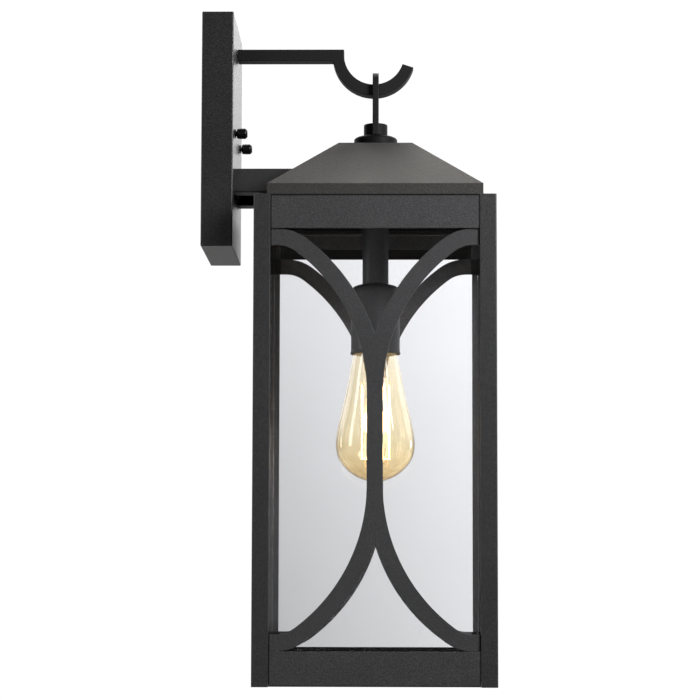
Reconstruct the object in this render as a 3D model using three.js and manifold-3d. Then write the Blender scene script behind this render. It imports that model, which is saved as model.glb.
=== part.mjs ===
// Outdoor wall lantern: a square glazed lantern body carried on a box arm from a wall plate, with a
// decorative hook above it. Millimetres, +Z up. The origin is the centre of the wall plate's back
// plane, +X points away from the wall, and Y runs along the wall.
import * as THREE from "three";
import { mergeVertices } from "three/addons/utils/BufferGeometryUtils.js";
import Module from "manifold-3d";

const wasm = await Module();
wasm.setup();

// ---------------------------------------------------------------- driving dimensions
const GAP = 0.3; // clearance between touching pieces
const SHEET = 1.5; // steel sheet of the plate, roof and posts

const PLATE = { depth: 23.8, width: 114.3, height: 177.8 };
const AXIS_X = 130.2; // vertical axis of the lantern body
const BODY_HALF = 89; // half of the body's outer width
const BODY_TOP = -54.5; // top ends of the corner posts
const BODY_BOTTOM = -413.5;
const POST_LEG = 12.3; // leg of each corner angle

const RAIL_SHEET = 1.3;
const RAIL_SETBACK = 0.3; // how far a rail lies behind the posts' faces
const TOP_RAIL = { top: -56, bottom: -80.1 };
const BOTTOM_RAIL = { top: -387.9, bottom: -413.2 };
const RAIL_FLANGE_REACH = 76.8; // inner edge of a rail's folded flange, from the axis

const FRET_SHEET = 2;
const FRET_BAND = 12.2; // width of the scrolled band
const FRET_BAR_HALF = 5.9; // half width of the central bar
const FRET_ARC = 128.2; // radius of the hollow side of each long arc
const FRET_CORNER = 23; // radius of the hollow side where a band turns level
const FRET_END = 84; // how far a band runs behind a post, from the centre line
const FRET_STRAIGHT = 34; // half height of the straight part of the central bar

const GLASS = { thickness: 2.5, half: 81, top: -62, bottom: -411 };

const ROOF = { eaveHalf: 79.7, eave: -45.3, crownHalf: 27.8, crown: -5.8, rim: -57, rimHalf: 86.9 };

const ARM = { halfWidth: 42, top: -27.9, bottom: -45.9, lip: 17.5 };
const HOOK = { top: 70.6, bottom: 61.8, halfDepth: 7, x: 128.9, z: 66.4, inner: 23, outer: 31.8 };
const HOOK_TIP_DROP = THREE.MathUtils.degToRad(18); // how far below level the hook's tip ends

const STUD = { radius: 2.1, spread: 33.5, end: 30.9 };
const NUT = { radius: 4, start: 25.2, length: 8, bore: 2.45, depth: 6.2, round: 1.4 };
const WASHER = { radius: 3.4, thickness: 0.9 };

const STEM = { radius: 9.95, bore: 8.2, top: -7.6, bottom: -111.2, plug: 11 };
const CUP = { radius: 18.6, sheet: 0.9, top: -111.5, lip: -164.7 };
const ROD = { radius: 4.85, bore: 3.3, hole: 5.15 }; // hollow threaded nipples and their holes
const HOLDER = { radius: 16, bore: 14.4, top: -113.3, floor: -120, mouth: -150.5 };
const SHELL = { inner: 13.4, outer: 14, top: -122.3, bottom: -148 };

const BULB = { tip: -122, capRadius: 12.75, thread: 0.3, pitch: 3.63, capBottom: -148.2 };
const FILAMENT = { wire: 0.45, cage: 11, top: -189, bottom: -244, strands: 8 };
const WIRE = { radius: 1.1, apart: 1.4 };

const DOMED = 0.7; // share of a screw head's radius and height that stays square

// ---------------------------------------------------------------- finishes
function finish(color, roughness, metalness, more = {}) {
  return new THREE.MeshStandardMaterial({ color, roughness, metalness, ...more });
}

const MATERIALS = {
  powderCoat: finish(0x2b2b2c, 0.75, 0.1),
  zincSteel: finish(0xb4b8bc, 0.4, 0.9),
  brass: finish(0xc49a4a, 0.3, 1),
  nickel: finish(0xb9b2a2, 0.3, 1),
  porcelain: finish(0xe9e6df, 0.35, 0),
  paneGlass: finish(0xdfe6ea, 0.05, 0, { transparent: true, opacity: 0.3 }),
  amberGlass: finish(0xe3b35a, 0.05, 0, { transparent: true, opacity: 0.5 }),
  clearGlass: finish(0xe8e8e4, 0.05, 0, { transparent: true, opacity: 0.5 }),
  blackGlass: finish(0x101014, 0.2, 0),
  tungsten: finish(0xffc26a, 0.6, 0, { emissive: 0xff9a30 }),
  rubber: finish(0x151515, 0.8, 0),
  wireBlack: finish(0x18181a, 0.55, 0),
  wireWhite: finish(0xdcdad2, 0.55, 0),
  wireGreen: finish(0x2f7a3c, 0.55, 0),
  screwGreen: finish(0x2c8a48, 0.4, 0.8),
};

// ---------------------------------------------------------------- solids
function solidOf(geometry) {
  const bare = geometry.index ? geometry.toNonIndexed() : geometry.clone();
  bare.deleteAttribute("normal");
  bare.deleteAttribute("uv");
  const merged = mergeVertices(bare, 1e-4);
  const source = merged.index.array;
  const kept = [];
  for (let i = 0; i < source.length; i += 3) {
    const [a, b, c] = [source[i], source[i + 1], source[i + 2]];
    if (a !== b && b !== c && c !== a) kept.push(a, b, c);
  }
  const vertProperties = merged.attributes.position.array;
  const build = (triVerts) =>
    new wasm.Manifold(new wasm.Mesh({ numProp: 3, vertProperties, triVerts }));
  const made = build(new Uint32Array(kept));
  if (made.volume() > 0) return made;
  for (let i = 0; i < kept.length; i += 3) [kept[i], kept[i + 1]] = [kept[i + 1], kept[i]];
  return build(new Uint32Array(kept));
}

function geometryOf(solid) {
  const mesh = solid.getMesh();
  const geometry = new THREE.BufferGeometry();
  geometry.setAttribute("position", new THREE.BufferAttribute(mesh.vertProperties, mesh.numProp));
  geometry.setIndex(new THREE.BufferAttribute(mesh.triVerts, 1));
  const flat = geometry.toNonIndexed();
  flat.computeVertexNormals();
  return flat;
}

function joined(...geometries) {
  const solids = geometries.map(solidOf);
  return geometryOf(solids.slice(1).reduce((sum, next) => sum.add(next), solids[0]));
}

function cut(geometry, ...tools) {
  const solids = tools.map(solidOf);
  return geometryOf(solids.reduce((left, tool) => left.subtract(tool), solidOf(geometry)));
}

// A box between two corners.
function block(low, high) {
  const size = high.map((value, i) => value - low[i]);
  const middle = high.map((value, i) => (value + low[i]) / 2);
  return new THREE.BoxGeometry(...size).translate(...middle);
}

// A turned solid about the vertical line through (x, 0), from [radius, z] points.
function turned(points, x = 0, segments = 24) {
  const profile = points.map(([radius, z]) => new THREE.Vector2(radius, z));
  return new THREE.LatheGeometry(profile, segments).rotateX(Math.PI / 2).translate(x, 0, 0);
}

// A turned solid about a line along +X through (y, z), from [radius, x] points.
function turnedAlongX(points, y, z, segments = 16) {
  return turned(points, 0, segments).rotateY(Math.PI / 2).translate(0, y, z);
}

function tubeProfile(inner, outer, low, high) {
  return [[inner, low], [outer, low], [outer, high], [inner, high], [inner, low]];
}

function rodProfile(radius, low, high) {
  return [[0, low], [radius, low], [radius, high], [0, high]];
}

// A plate drawn in the (across, z) plane and given thickness along Y from y = near to y = far.
function plateInXZ(shape, near, far, curveSegments = 12) {
  const settings = { depth: far - near, bevelEnabled: false, curveSegments };
  const geometry = new THREE.ExtrudeGeometry(shape, settings);
  return geometry.rotateX(Math.PI / 2).translate(0, far, 0);
}

// A folded section drawn in the (y, z) plane and run along X from x = low to x = high.
function runAlongX(outline, low, high) {
  const shape = new THREE.Shape(outline.map(([y, z]) => new THREE.Vector2(y, z)));
  const geometry = new THREE.ExtrudeGeometry(shape, { depth: high - low, bevelEnabled: false });
  geometry.applyMatrix4(new THREE.Matrix4().makeBasis(
    new THREE.Vector3(0, 1, 0),
    new THREE.Vector3(0, 0, 1),
    new THREE.Vector3(1, 0, 0),
  ));
  return geometry.translate(low, 0, 0);
}

// A smooth curve through [x, y, z] points.
function smoothCurve(points) {
  const vectors = points.map((point) => new THREE.Vector3(...point));
  return new THREE.CatmullRomCurve3(vectors, false, "centripetal");
}

// A round wire or tube swept along a curve.
function swept(curve, radius, steps, sides = 8) {
  const section = new THREE.Shape();
  for (let i = 0; i < sides; i += 1) {
    const turn = (2 * Math.PI * i) / sides;
    const point = [radius * Math.cos(turn), radius * Math.sin(turn)];
    if (i === 0) section.moveTo(...point);
    else section.lineTo(...point);
  }
  section.closePath();
  return new THREE.ExtrudeGeometry(section, { steps, extrudePath: curve, bevelEnabled: false });
}

// ---------------------------------------------------------------- the assembly
const group = new THREE.Group();
const body = new THREE.Group();
body.position.x = AXIS_X;
group.add(body);

function place(parent, name, geometry, material, turn = 0) {
  const mesh = new THREE.Mesh(geometryOf(solidOf(geometry)), material);
  mesh.name = name;
  mesh.rotation.z = turn;
  parent.add(mesh);
}

// The four sides of the body, each drawn as the left side (facing -Y) and turned into place.
const SIDES = [
  ["left", 0],
  ["front", Math.PI / 2],
  ["right", Math.PI],
  ["back", -Math.PI / 2],
];

// ---- wall plate and its fixings
const ARM_MIDDLE = (ARM.top + ARM.bottom) / 2;
const WIRE_HOLE = 5.5;
const HOOK_SCREW = { radius: 2, hole: 2.4, head: 4, headHeight: 2.4, depth: 10 };
const HOOK_MIDDLE = (HOOK.top + HOOK.bottom) / 2;

function wallPlate() {
  const halfWidth = PLATE.width / 2;
  const halfHeight = PLATE.height / 2;
  const outside = block([0, -halfWidth, -halfHeight], [PLATE.depth, halfWidth, halfHeight]);
  const hollow = block(
    [-1, SHEET - halfWidth, SHEET - halfHeight],
    [PLATE.depth - SHEET, halfWidth - SHEET, halfHeight - SHEET],
  );
  const drill = (radius, y, z) => turnedAlongX(rodProfile(radius, 10, PLATE.depth + 1), y, z);
  return cut(
    outside,
    hollow,
    drill(STUD.radius + GAP, -STUD.spread, 0),
    drill(STUD.radius + GAP, STUD.spread, 0),
    drill(HOOK_SCREW.hole, 0, HOOK_MIDDLE),
    drill(WIRE_HOLE, 0, ARM_MIDDLE),
  );
}

const STRAP = { halfLength: 54, halfHeight: 12.5, thickness: 2 };
const STRAP_SLOT = { y: 44.5, halfLength: 4.5, halfHeight: 2.4 };
const GROUND_SCREW = { y: 17, radius: 2, head: 4.2, headHeight: 2.2, hole: 2.3, clearance: 1.6 };

function mountingStrap() {
  const { halfLength, halfHeight, thickness } = STRAP;
  const bar = block([0, -halfLength, -halfHeight], [thickness, halfLength, halfHeight]);
  const drill = (radius, y) => turnedAlongX(rodProfile(radius, -1, thickness + 1), y, 0);
  const slot = (y) => block(
    [-1, y - STRAP_SLOT.halfLength, -STRAP_SLOT.halfHeight],
    [thickness + 1, y + STRAP_SLOT.halfLength, STRAP_SLOT.halfHeight],
  );
  return cut(
    bar,
    drill(STUD.radius + GAP, -STUD.spread),
    drill(STUD.radius + GAP, STUD.spread),
    drill(GROUND_SCREW.hole, GROUND_SCREW.y),
    slot(-STRAP_SLOT.y),
    slot(STRAP_SLOT.y),
  );
}

function groundScrew() {
  const { radius, head, headHeight, clearance } = GROUND_SCREW;
  const underHead = STRAP.thickness + clearance;
  const profile = [
    [0, GAP],
    [radius, GAP],
    [radius, underHead],
    [head, underHead],
    [head, underHead + headHeight * DOMED],
    [head * DOMED, underHead + headHeight],
    [0, underHead + headHeight],
  ];
  return turnedAlongX(profile, GROUND_SCREW.y, 0);
}

function strapStud(y) {
  return turnedAlongX(rodProfile(STUD.radius, GAP, STUD.end), y, 0, 16);
}

function nutWasher(y) {
  const start = PLATE.depth + GAP;
  return turnedAlongX(tubeProfile(NUT.bore, WASHER.radius, start, start + WASHER.thickness), y, 0);
}

// A smooth barrel-shaped cap nut with a blind bore.
function capNut(y) {
  const round = NUT.round;
  const start = NUT.start + GAP;
  const end = start + NUT.length;
  const profile = [[NUT.bore, start], [NUT.radius - round, start]];
  for (const [centre, from] of [[start + round, -90], [end - round, 0]]) {
    for (let degrees = from; degrees <= from + 90; degrees += 30) {
      const angle = THREE.MathUtils.degToRad(degrees);
      profile.push([NUT.radius - round + round * Math.cos(angle), centre + round * Math.sin(angle)]);
    }
  }
  profile.push([0, end], [0, start + NUT.depth], [NUT.bore, start + NUT.depth], [NUT.bore, start]);
  return turnedAlongX(profile, y, 0);
}

place(group, "wall_plate", wallPlate(), MATERIALS.powderCoat);
place(group, "mounting_strap", mountingStrap(), MATERIALS.zincSteel);
place(group, "ground_screw", groundScrew(), MATERIALS.screwGreen);
for (const [side, y] of [["left", -STUD.spread], ["right", STUD.spread]]) {
  place(group, `strap_stud_${side}`, strapStud(y), MATERIALS.zincSteel);
  place(group, `nut_washer_${side}`, nutWasher(y), MATERIALS.powderCoat);
  place(group, `cap_nut_${side}`, capNut(y), MATERIALS.powderCoat);
}

// ---- hook arm: a flat bar that ends in an open hook
function hookArm() {
  const start = PLATE.depth + GAP;
  const tip = 2 * Math.PI - HOOK_TIP_DROP;
  const meets = Math.PI + Math.asin((HOOK.z - HOOK.bottom) / HOOK.outer);
  const shape = new THREE.Shape();
  shape.moveTo(start, HOOK.bottom);
  shape.lineTo(HOOK.x + HOOK.outer * Math.cos(meets), HOOK.bottom);
  shape.absarc(HOOK.x, HOOK.z, HOOK.outer, meets, tip, false);
  shape.absarc(HOOK.x, HOOK.z, HOOK.inner, tip, Math.PI, true);
  shape.lineTo(HOOK.x - HOOK.inner, HOOK.top);
  shape.lineTo(start, HOOK.top);
  shape.closePath();
  const arm = plateInXZ(shape, -HOOK.halfDepth, HOOK.halfDepth, 12);
  const bore = rodProfile(HOOK_SCREW.hole, start - 1, start + HOOK_SCREW.depth + 1);
  return cut(arm, turnedAlongX(bore, 0, HOOK_MIDDLE));
}

function hookArmScrew() {
  const head = PLATE.depth - SHEET - GAP;
  const end = PLATE.depth + GAP + HOOK_SCREW.depth;
  const profile = [
    [0, head - HOOK_SCREW.headHeight],
    [HOOK_SCREW.head * DOMED, head - HOOK_SCREW.headHeight],
    [HOOK_SCREW.head, head - HOOK_SCREW.headHeight * DOMED],
    [HOOK_SCREW.head, head],
    [HOOK_SCREW.radius, head],
    [HOOK_SCREW.radius, end],
    [0, end],
  ];
  return turnedAlongX(profile, 0, HOOK_MIDDLE);
}

place(group, "hook_arm", hookArm(), MATERIALS.powderCoat);
place(group, "hook_arm_screw", hookArmScrew(), MATERIALS.zincSteel);

// ---- lower arm: a folded channel, open underneath between two return lips, mitred to the roof
const ROOF_RUN = ROOF.eaveHalf - ROOF.crownHalf;
const ROOF_RISE = ROOF.crown - ROOF.eave;
const ROOF_PITCH = Math.atan2(ROOF_RISE, ROOF_RUN);

// Where the back slope of the roof lies at height z, measured along X.
function backSlopeX(z) {
  return AXIS_X - ROOF.eaveHalf + ((z - ROOF.eave) * ROOF_RUN) / ROOF_RISE;
}

function lowerArm() {
  const { halfWidth, top, bottom, lip } = ARM;
  const outline = [
    [-halfWidth, bottom],
    [-halfWidth + lip, bottom],
    [-halfWidth + lip, bottom + SHEET],
    [-halfWidth + SHEET, bottom + SHEET],
    [-halfWidth + SHEET, top - SHEET],
    [halfWidth - SHEET, top - SHEET],
    [halfWidth - SHEET, bottom + SHEET],
    [halfWidth - lip, bottom + SHEET],
    [halfWidth - lip, bottom],
    [halfWidth, bottom],
    [halfWidth, top],
    [-halfWidth, top],
  ];
  const channel = runAlongX(outline, PLATE.depth + GAP, AXIS_X);
  const clearance = GAP / Math.sin(ROOF_PITCH);
  const low = ROOF.rim;
  const high = ROOF.crown;
  const beyond = new THREE.Shape([
    new THREE.Vector2(backSlopeX(low) - clearance, low),
    new THREE.Vector2(AXIS_X * 2, low),
    new THREE.Vector2(AXIS_X * 2, high),
    new THREE.Vector2(backSlopeX(high) - clearance, high),
  ]);
  const fascia = AXIS_X - ROOF.eaveHalf - GAP;
  return cut(
    channel,
    plateInXZ(beyond, -halfWidth - 1, halfWidth + 1),
    block([fascia, -halfWidth - 1, low], [AXIS_X * 2, halfWidth + 1, ROOF.eave + GAP]),
  );
}

// A rubber grommet that lines the wire hole in the plate's front.
function wireGrommet() {
  const neck = WIRE_HOLE - GAP;
  const rim = WIRE_HOLE + 2;
  const bore = 3.6;
  const back = PLATE.depth - SHEET - GAP;
  const front = PLATE.depth + GAP;
  const profile = [
    [bore, back - 1.5],
    [rim, back - 1.5],
    [rim, back],
    [neck, back],
    [neck, front],
    [rim, front],
    [rim, front + 1.5],
    [bore, front + 1.5],
    [bore, back - 1.5],
  ];
  return turnedAlongX(profile, 0, ARM_MIDDLE);
}

place(group, "lower_arm", lowerArm(), MATERIALS.powderCoat);
place(group, "wire_grommet", wireGrommet(), MATERIALS.rubber);

// ---- hanging loop, boss and domed cover on the crown of the roof
const COVER = { radius: 16.6, edge: 0.6, dome: 3.6 };
const BOSS = { radius: 9.1, bottom: 3.9, top: 13, round: 1 };
const LOOP = { halfWidth: 2.35, inner: 9.45, outer: 11.4, crown: 53.2, foot: 4 };

function domedCover() {
  const bottom = ROOF.crown + GAP;
  const profile = [[ROD.hole, bottom], [COVER.radius, bottom], [COVER.radius, COVER.edge]];
  const domeSteps = 5;
  for (let i = 1; i <= domeSteps; i += 1) {
    const angle = (i / domeSteps) * (Math.PI / 2);
    const across = COVER.radius - BOSS.radius;
    profile.push([
      BOSS.radius + across * Math.cos(angle),
      COVER.edge + (COVER.dome - COVER.edge) * Math.sin(angle),
    ]);
  }
  profile.push([ROD.hole, COVER.dome], [ROD.hole, bottom]);
  return turned(profile);
}

function loopBoss() {
  const { radius, bottom, top, round } = BOSS;
  const depth = top - 3;
  return turned([
    [ROD.hole, bottom],
    [radius, bottom],
    [radius, top - round],
    [radius - round * 0.3, top - round * 0.3],
    [radius - round, top],
    [0, top],
    [0, depth],
    [ROD.hole, depth],
    [ROD.hole, bottom],
  ]);
}

// A flat strap bent into an upside-down U over the hook, its legs either side of the boss.
function hangingLoop() {
  const centre = LOOP.crown - LOOP.outer;
  const shape = new THREE.Shape();
  shape.moveTo(LOOP.outer, LOOP.foot);
  shape.lineTo(LOOP.outer, centre);
  shape.absarc(0, centre, LOOP.outer, 0, Math.PI, false);
  shape.lineTo(-LOOP.outer, LOOP.foot);
  shape.lineTo(-LOOP.inner, LOOP.foot);
  shape.lineTo(-LOOP.inner, centre);
  shape.absarc(0, centre, LOOP.inner, Math.PI, 0, true);
  shape.lineTo(LOOP.inner, LOOP.foot);
  shape.closePath();
  return plateInXZ(shape, -LOOP.halfWidth, LOOP.halfWidth, 10).rotateZ(Math.PI / 2);
}

place(body, "domed_cover", domedCover(), MATERIALS.powderCoat);
place(body, "loop_boss", loopBoss(), MATERIALS.powderCoat);
place(body, "hanging_loop", hangingLoop(), MATERIALS.powderCoat);
place(body, "top_nipple", turned(tubeProfile(ROD.bore, ROD.radius, -16, 8.5), 0, 16), MATERIALS.zincSteel);

// ---- roof: a hipped sheet cap with a level crown, a short fascia and a rim inside the frame
const ROOF_WIRE_HOLE = { radius: 4.5, z: -36 };

// A square pyramid frustum or prism from stacked [half, z] levels.
function squareStack(levels) {
  const profile = levels.map(([half, z]) => [half * Math.SQRT2, z]);
  const [, low] = levels[0];
  const [, high] = levels[levels.length - 1];
  return turned([[0, low], ...profile, [0, high]], 0, 4).rotateZ(Math.PI / 4);
}

function roof() {
  const { eaveHalf, eave, crownHalf, crown, rim, rimHalf } = ROOF;
  const shift = SHEET / Math.cos(ROOF_PITCH); // vertical thickness of the slope
  const inset = SHEET * Math.tan(ROOF_PITCH / 2); // how far the inner crown corner steps in
  const outside = joined(
    squareStack([[rimHalf, rim - SHEET], [rimHalf, rim]]),
    squareStack([[eaveHalf, rim - SHEET], [eaveHalf, eave], [crownHalf, crown]]),
  );
  const innerEave = eaveHalf - SHEET;
  const inside = squareStack([
    [innerEave, rim - SHEET - 1],
    [innerEave, eave - shift + (SHEET * ROOF_RISE) / ROOF_RUN],
    [crownHalf - inset, crown - SHEET],
  ]);
  const wireHole = turned(rodProfile(ROOF_WIRE_HOLE.radius, -12, 12), 0, 20)
    .rotateY(-ROOF_PITCH)
    .translate(backSlopeX(ROOF_WIRE_HOLE.z) - AXIS_X, 0, ROOF_WIRE_HOLE.z);
  return cut(outside, inside, turned(rodProfile(ROD.hole, crown - 5, crown + 5), 0, 24), wireHole);
}

place(body, "roof", roof(), MATERIALS.powderCoat);

// ---- frame: corner angles, rails and fretwork
const POST_INNER = BODY_HALF - POST_LEG;
const RAIL_HALF = POST_INNER - GAP;
const RAIL_FACE = BODY_HALF - RAIL_SETBACK;
const FRET_FACE = RAIL_FACE - RAIL_SHEET - GAP;
const GLASS_FACE = FRET_FACE - FRET_SHEET - GAP;

// The corner at (-x, -y); the others are turned copies.
function cornerPost() {
  const angle = new THREE.Shape(
    [
      [-BODY_HALF, -BODY_HALF],
      [-POST_INNER, -BODY_HALF],
      [-POST_INNER, SHEET - BODY_HALF],
      [SHEET - BODY_HALF, SHEET - BODY_HALF],
      [SHEET - BODY_HALF, -POST_INNER],
      [-BODY_HALF, -POST_INNER],
    ].map(([x, y]) => new THREE.Vector2(x, y)),
  );
  const depth = BODY_TOP - BODY_BOTTOM;
  return new THREE.ExtrudeGeometry(angle, { depth, bevelEnabled: false }).translate(0, 0, BODY_BOTTOM);
}

// A web with a flange folded inwards under the roof's rim.
function topRail() {
  const { top, bottom } = TOP_RAIL;
  const seat = ROOF.rim - SHEET - GAP;
  const outline = [
    [-RAIL_FACE, bottom],
    [RAIL_SHEET - RAIL_FACE, bottom],
    [RAIL_SHEET - RAIL_FACE, seat - SHEET],
    [-RAIL_FLANGE_REACH, seat - SHEET],
    [-RAIL_FLANGE_REACH, seat],
    [RAIL_SHEET - RAIL_FACE, seat],
    [RAIL_SHEET - RAIL_FACE, top],
    [-RAIL_FACE, top],
  ];
  return runAlongX(outline, -RAIL_HALF, RAIL_HALF);
}

// A web with a floor and an upturned lip that hold the foot of the glass.
function bottomRail() {
  const { top, bottom } = BOTTOM_RAIL;
  const lipFace = GLASS_FACE - GLASS.thickness - 1;
  const lipTop = bottom + 7;
  const outline = [
    [-RAIL_FACE, bottom],
    [RAIL_SHEET - lipFace, bottom],
    [RAIL_SHEET - lipFace, lipTop],
    [-lipFace, lipTop],
    [-lipFace, bottom + RAIL_SHEET],
    [RAIL_SHEET - RAIL_FACE, bottom + RAIL_SHEET],
    [RAIL_SHEET - RAIL_FACE, top],
    [-RAIL_FACE, top],
  ];
  return runAlongX(outline, -RAIL_HALF, RAIL_HALF);
}

// One quarter of the fretwork: a band that leaves the post level, turns through a tight arc and
// runs into the central bar along a long one. The outline lies left of the centre line.
function fretQuarter(level, middle) {
  const hollow = FRET_ARC;
  const crest = FRET_ARC + FRET_BAND;
  const centreU = -FRET_BAR_HALF - FRET_ARC;
  const cornerZ = level - FRET_BAND - FRET_CORNER;
  const between = FRET_ARC - FRET_CORNER;
  const centreZ = middle + FRET_STRAIGHT;
  const cornerU = centreU + Math.sqrt(between ** 2 - (cornerZ - centreZ) ** 2);
  const blend = Math.atan2(cornerZ - centreZ, cornerU - centreU);
  const meets = Math.acos(-centreU / crest);
  const shape = new THREE.Shape();
  shape.moveTo(-FRET_END, level);
  shape.absarc(cornerU, cornerZ, FRET_CORNER + FRET_BAND, Math.PI / 2, blend, true);
  shape.absarc(centreU, centreZ, crest, blend, meets, true);
  shape.lineTo(0, middle);
  shape.lineTo(-FRET_BAR_HALF, middle);
  shape.absarc(centreU, centreZ, hollow, 0, blend, false);
  shape.absarc(cornerU, cornerZ, FRET_CORNER, blend, Math.PI / 2, false);
  shape.lineTo(-FRET_END, level - FRET_BAND);
  shape.closePath();
  return shape;
}

function fretPanel() {
  const middle = (TOP_RAIL.bottom + BOTTOM_RAIL.top) / 2;
  const level = TOP_RAIL.bottom;
  const quarter = solidOf(plateInXZ(fretQuarter(level, middle), -FRET_FACE, FRET_SHEET - FRET_FACE, 5));
  const half = quarter.add(quarter.mirror([1, 0, 0]));
  const lower = half.mirror([0, 0, 1]).translate([0, 0, 2 * middle]);
  return geometryOf(half.add(lower));
}

function glassPane() {
  return block(
    [-GLASS.half, -GLASS_FACE, GLASS.bottom],
    [GLASS.half, GLASS.thickness - GLASS_FACE, GLASS.top],
  );
}

// An angle strip under the top rail's flange that keeps the head of the glass in place.
function glassRetainer() {
  const half = 60;
  const face = GLASS_FACE - GLASS.thickness - 0.4;
  const seat = ROOF.rim - 2 * (SHEET + GAP);
  const outline = [
    [-face, seat - 12],
    [RAIL_SHEET - face, seat - 12],
    [RAIL_SHEET - face, seat - RAIL_SHEET],
    [-RAIL_FLANGE_REACH, seat - RAIL_SHEET],
    [-RAIL_FLANGE_REACH, seat],
    [-face, seat],
  ];
  return runAlongX(outline, -half, half);
}

const POST_NAMES = ["back_left", "front_left", "front_right", "back_right"];
POST_NAMES.forEach((name, i) => {
  place(body, `post_${name}`, cornerPost(), MATERIALS.powderCoat, (i * Math.PI) / 2);
});
for (const [side, turn] of SIDES) {
  place(body, `top_rail_${side}`, topRail(), MATERIALS.powderCoat, turn);
  place(body, `bottom_rail_${side}`, bottomRail(), MATERIALS.powderCoat, turn);
  place(body, `fretwork_${side}`, fretPanel(), MATERIALS.powderCoat, turn);
  place(body, `glass_${side}`, glassPane(), MATERIALS.paneGlass, turn);
  place(body, `glass_retainer_${side}`, glassRetainer(), MATERIALS.powderCoat, turn);
}

// ---- lamp stem, cup and lampholder
const STEM_WIRE_HOLE = { radius: 4, z: -25.5 };
const BOTTOM_NIPPLE = { top: -101, bottom: -119.5 };

function stemTube() {
  const { radius, bore, top, bottom, plug } = STEM;
  const tube = turned([
    [ROD.hole, bottom],
    [radius, bottom],
    [radius, top],
    [ROD.hole, top],
    [ROD.hole, top - plug],
    [bore, top - plug - 1],
    [bore, bottom + plug + 1],
    [ROD.hole, bottom + plug],
    [ROD.hole, bottom],
  ]);
  const hole = turnedAlongX(rodProfile(STEM_WIRE_HOLE.radius, -radius - 2, 0), 0, STEM_WIRE_HOLE.z);
  return cut(tube, hole);
}

function socketCup() {
  const { radius, sheet, top, lip } = CUP;
  const shoulder = [
    [ROD.hole, 0],
    [12.6, 0],
    [15.8, -1],
    [17.8, -2.8],
    [radius, -6],
  ];
  const rolledLip = [
    [radius, lip + 2.2],
    [radius + 0.5, lip + 1.2],
    [radius + 0.5, lip + 0.4],
    [radius, lip],
  ];
  const outer = [...shoulder.map(([r, drop]) => [r, top + drop]), ...rolledLip];
  const inner = [
    [radius - sheet, lip],
    ...shoulder.slice(1).reverse().map(([r, drop]) => [r - sheet, top + drop - sheet]),
    [ROD.hole, top - sheet],
  ];
  return turned([...outer, ...inner, outer[0]], 0, 32);
}

function lampholder() {
  const { radius, bore, top, floor, mouth } = HOLDER;
  return turned([
    [ROD.hole, top],
    [radius - 3.4, top],
    [radius - 1, top - 2.4],
    [radius, top - 6],
    [radius, mouth],
    [bore, mouth],
    [bore, floor],
    [ROD.hole, floor],
    [ROD.hole, top],
  ]);
}

function screwShell() {
  const { inner, outer, top, bottom } = SHELL;
  return turned(tubeProfile(inner, outer, bottom, top));
}

// A bent brass leaf that presses on the bulb's centre contact.
function contactSpring() {
  const halfWidth = 2.5;
  const leaf = 0.4;
  const tip = BULB.tip + GAP;
  const root = HOLDER.floor - GAP;
  const outline = [
    [-4.4, root],
    [-7.6, root],
    [-7.6, root - leaf],
    [-4.6, root - leaf],
    [-1.8, tip],
    [1.8, tip],
    [3, tip + 0.5],
    [3, tip + 0.5 + leaf],
    [1.6, tip + leaf],
    [-1.6, tip + leaf],
  ];
  const shape = new THREE.Shape(outline.map(([x, z]) => new THREE.Vector2(x, z)));
  return plateInXZ(shape, -halfWidth, halfWidth);
}

place(body, "stem_tube", stemTube(), MATERIALS.powderCoat);
place(
  body,
  "bottom_nipple",
  turned(tubeProfile(ROD.bore, ROD.radius, BOTTOM_NIPPLE.bottom, BOTTOM_NIPPLE.top), 0, 16),
  MATERIALS.zincSteel,
);
place(body, "socket_cup", socketCup(), MATERIALS.powderCoat);
place(body, "lampholder", lampholder(), MATERIALS.porcelain);
place(body, "screw_shell", screwShell(), MATERIALS.brass);
place(body, "contact_spring", contactSpring(), MATERIALS.brass);

// ---- bulb: screw cap, glass envelope, mount and filament
const CAP = { crown: -126.4, sheet: 0.5, skirt: 13.1 };
const NECK_TOP = -147;

function centreContact() {
  return turned([[0, -123.4], [3.4, -123.4], [4.6, -122.7], [3.2, -122.2], [0, BULB.tip]], 0, 20);
}

function capInsulator() {
  return turned([[2, -127], [10.5, -127], [10.2, -125.7], [5.6, -123.8], [2, -123.7], [2, -127]], 0, 24);
}

// The cap's rolled thread is drawn as rings at the thread's pitch.
function screwCap() {
  const outside = [[10.9, CAP.crown], [11.9, CAP.crown - 0.2]];
  const turns = 5;
  const threadTop = CAP.crown - 1.4;
  for (let i = 0; i <= turns * 2; i += 1) {
    const wave = i % 2 === 0 ? -BULB.thread : BULB.thread;
    outside.push([BULB.capRadius + wave, threadTop - (i * BULB.pitch) / 2]);
  }
  outside.push([CAP.skirt, BULB.capBottom + 1.2], [CAP.skirt, BULB.capBottom]);
  const inner = BULB.capRadius - BULB.thread - CAP.sheet;
  const inside = [[inner, BULB.capBottom], [inner, CAP.crown - 1.2], [10.9, CAP.crown - 0.6]];
  return turned([...outside, ...inside, outside[0]]);
}

// Radius of the glass outside at heights down the bulb, from the neck to the rounded end.
const BULB_OUTLINE = [
  [11.6, NECK_TOP],
  [11.6, BULB.capBottom - 0.4],
  [13.4, -151],
  [14.6, -155],
  [16.4, -163],
  [19, -176],
  [22.3, -193],
  [25.7, -208],
  [28.6, -221],
  [29.8, -230],
  [29.7, -237],
  [28.2, -243.5],
  [24.8, -249],
  [20, -254],
  [13.8, -258.2],
  [7, -260.8],
  [3, -262.2],
  [1.6, -264],
  [0, -265],
];

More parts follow.
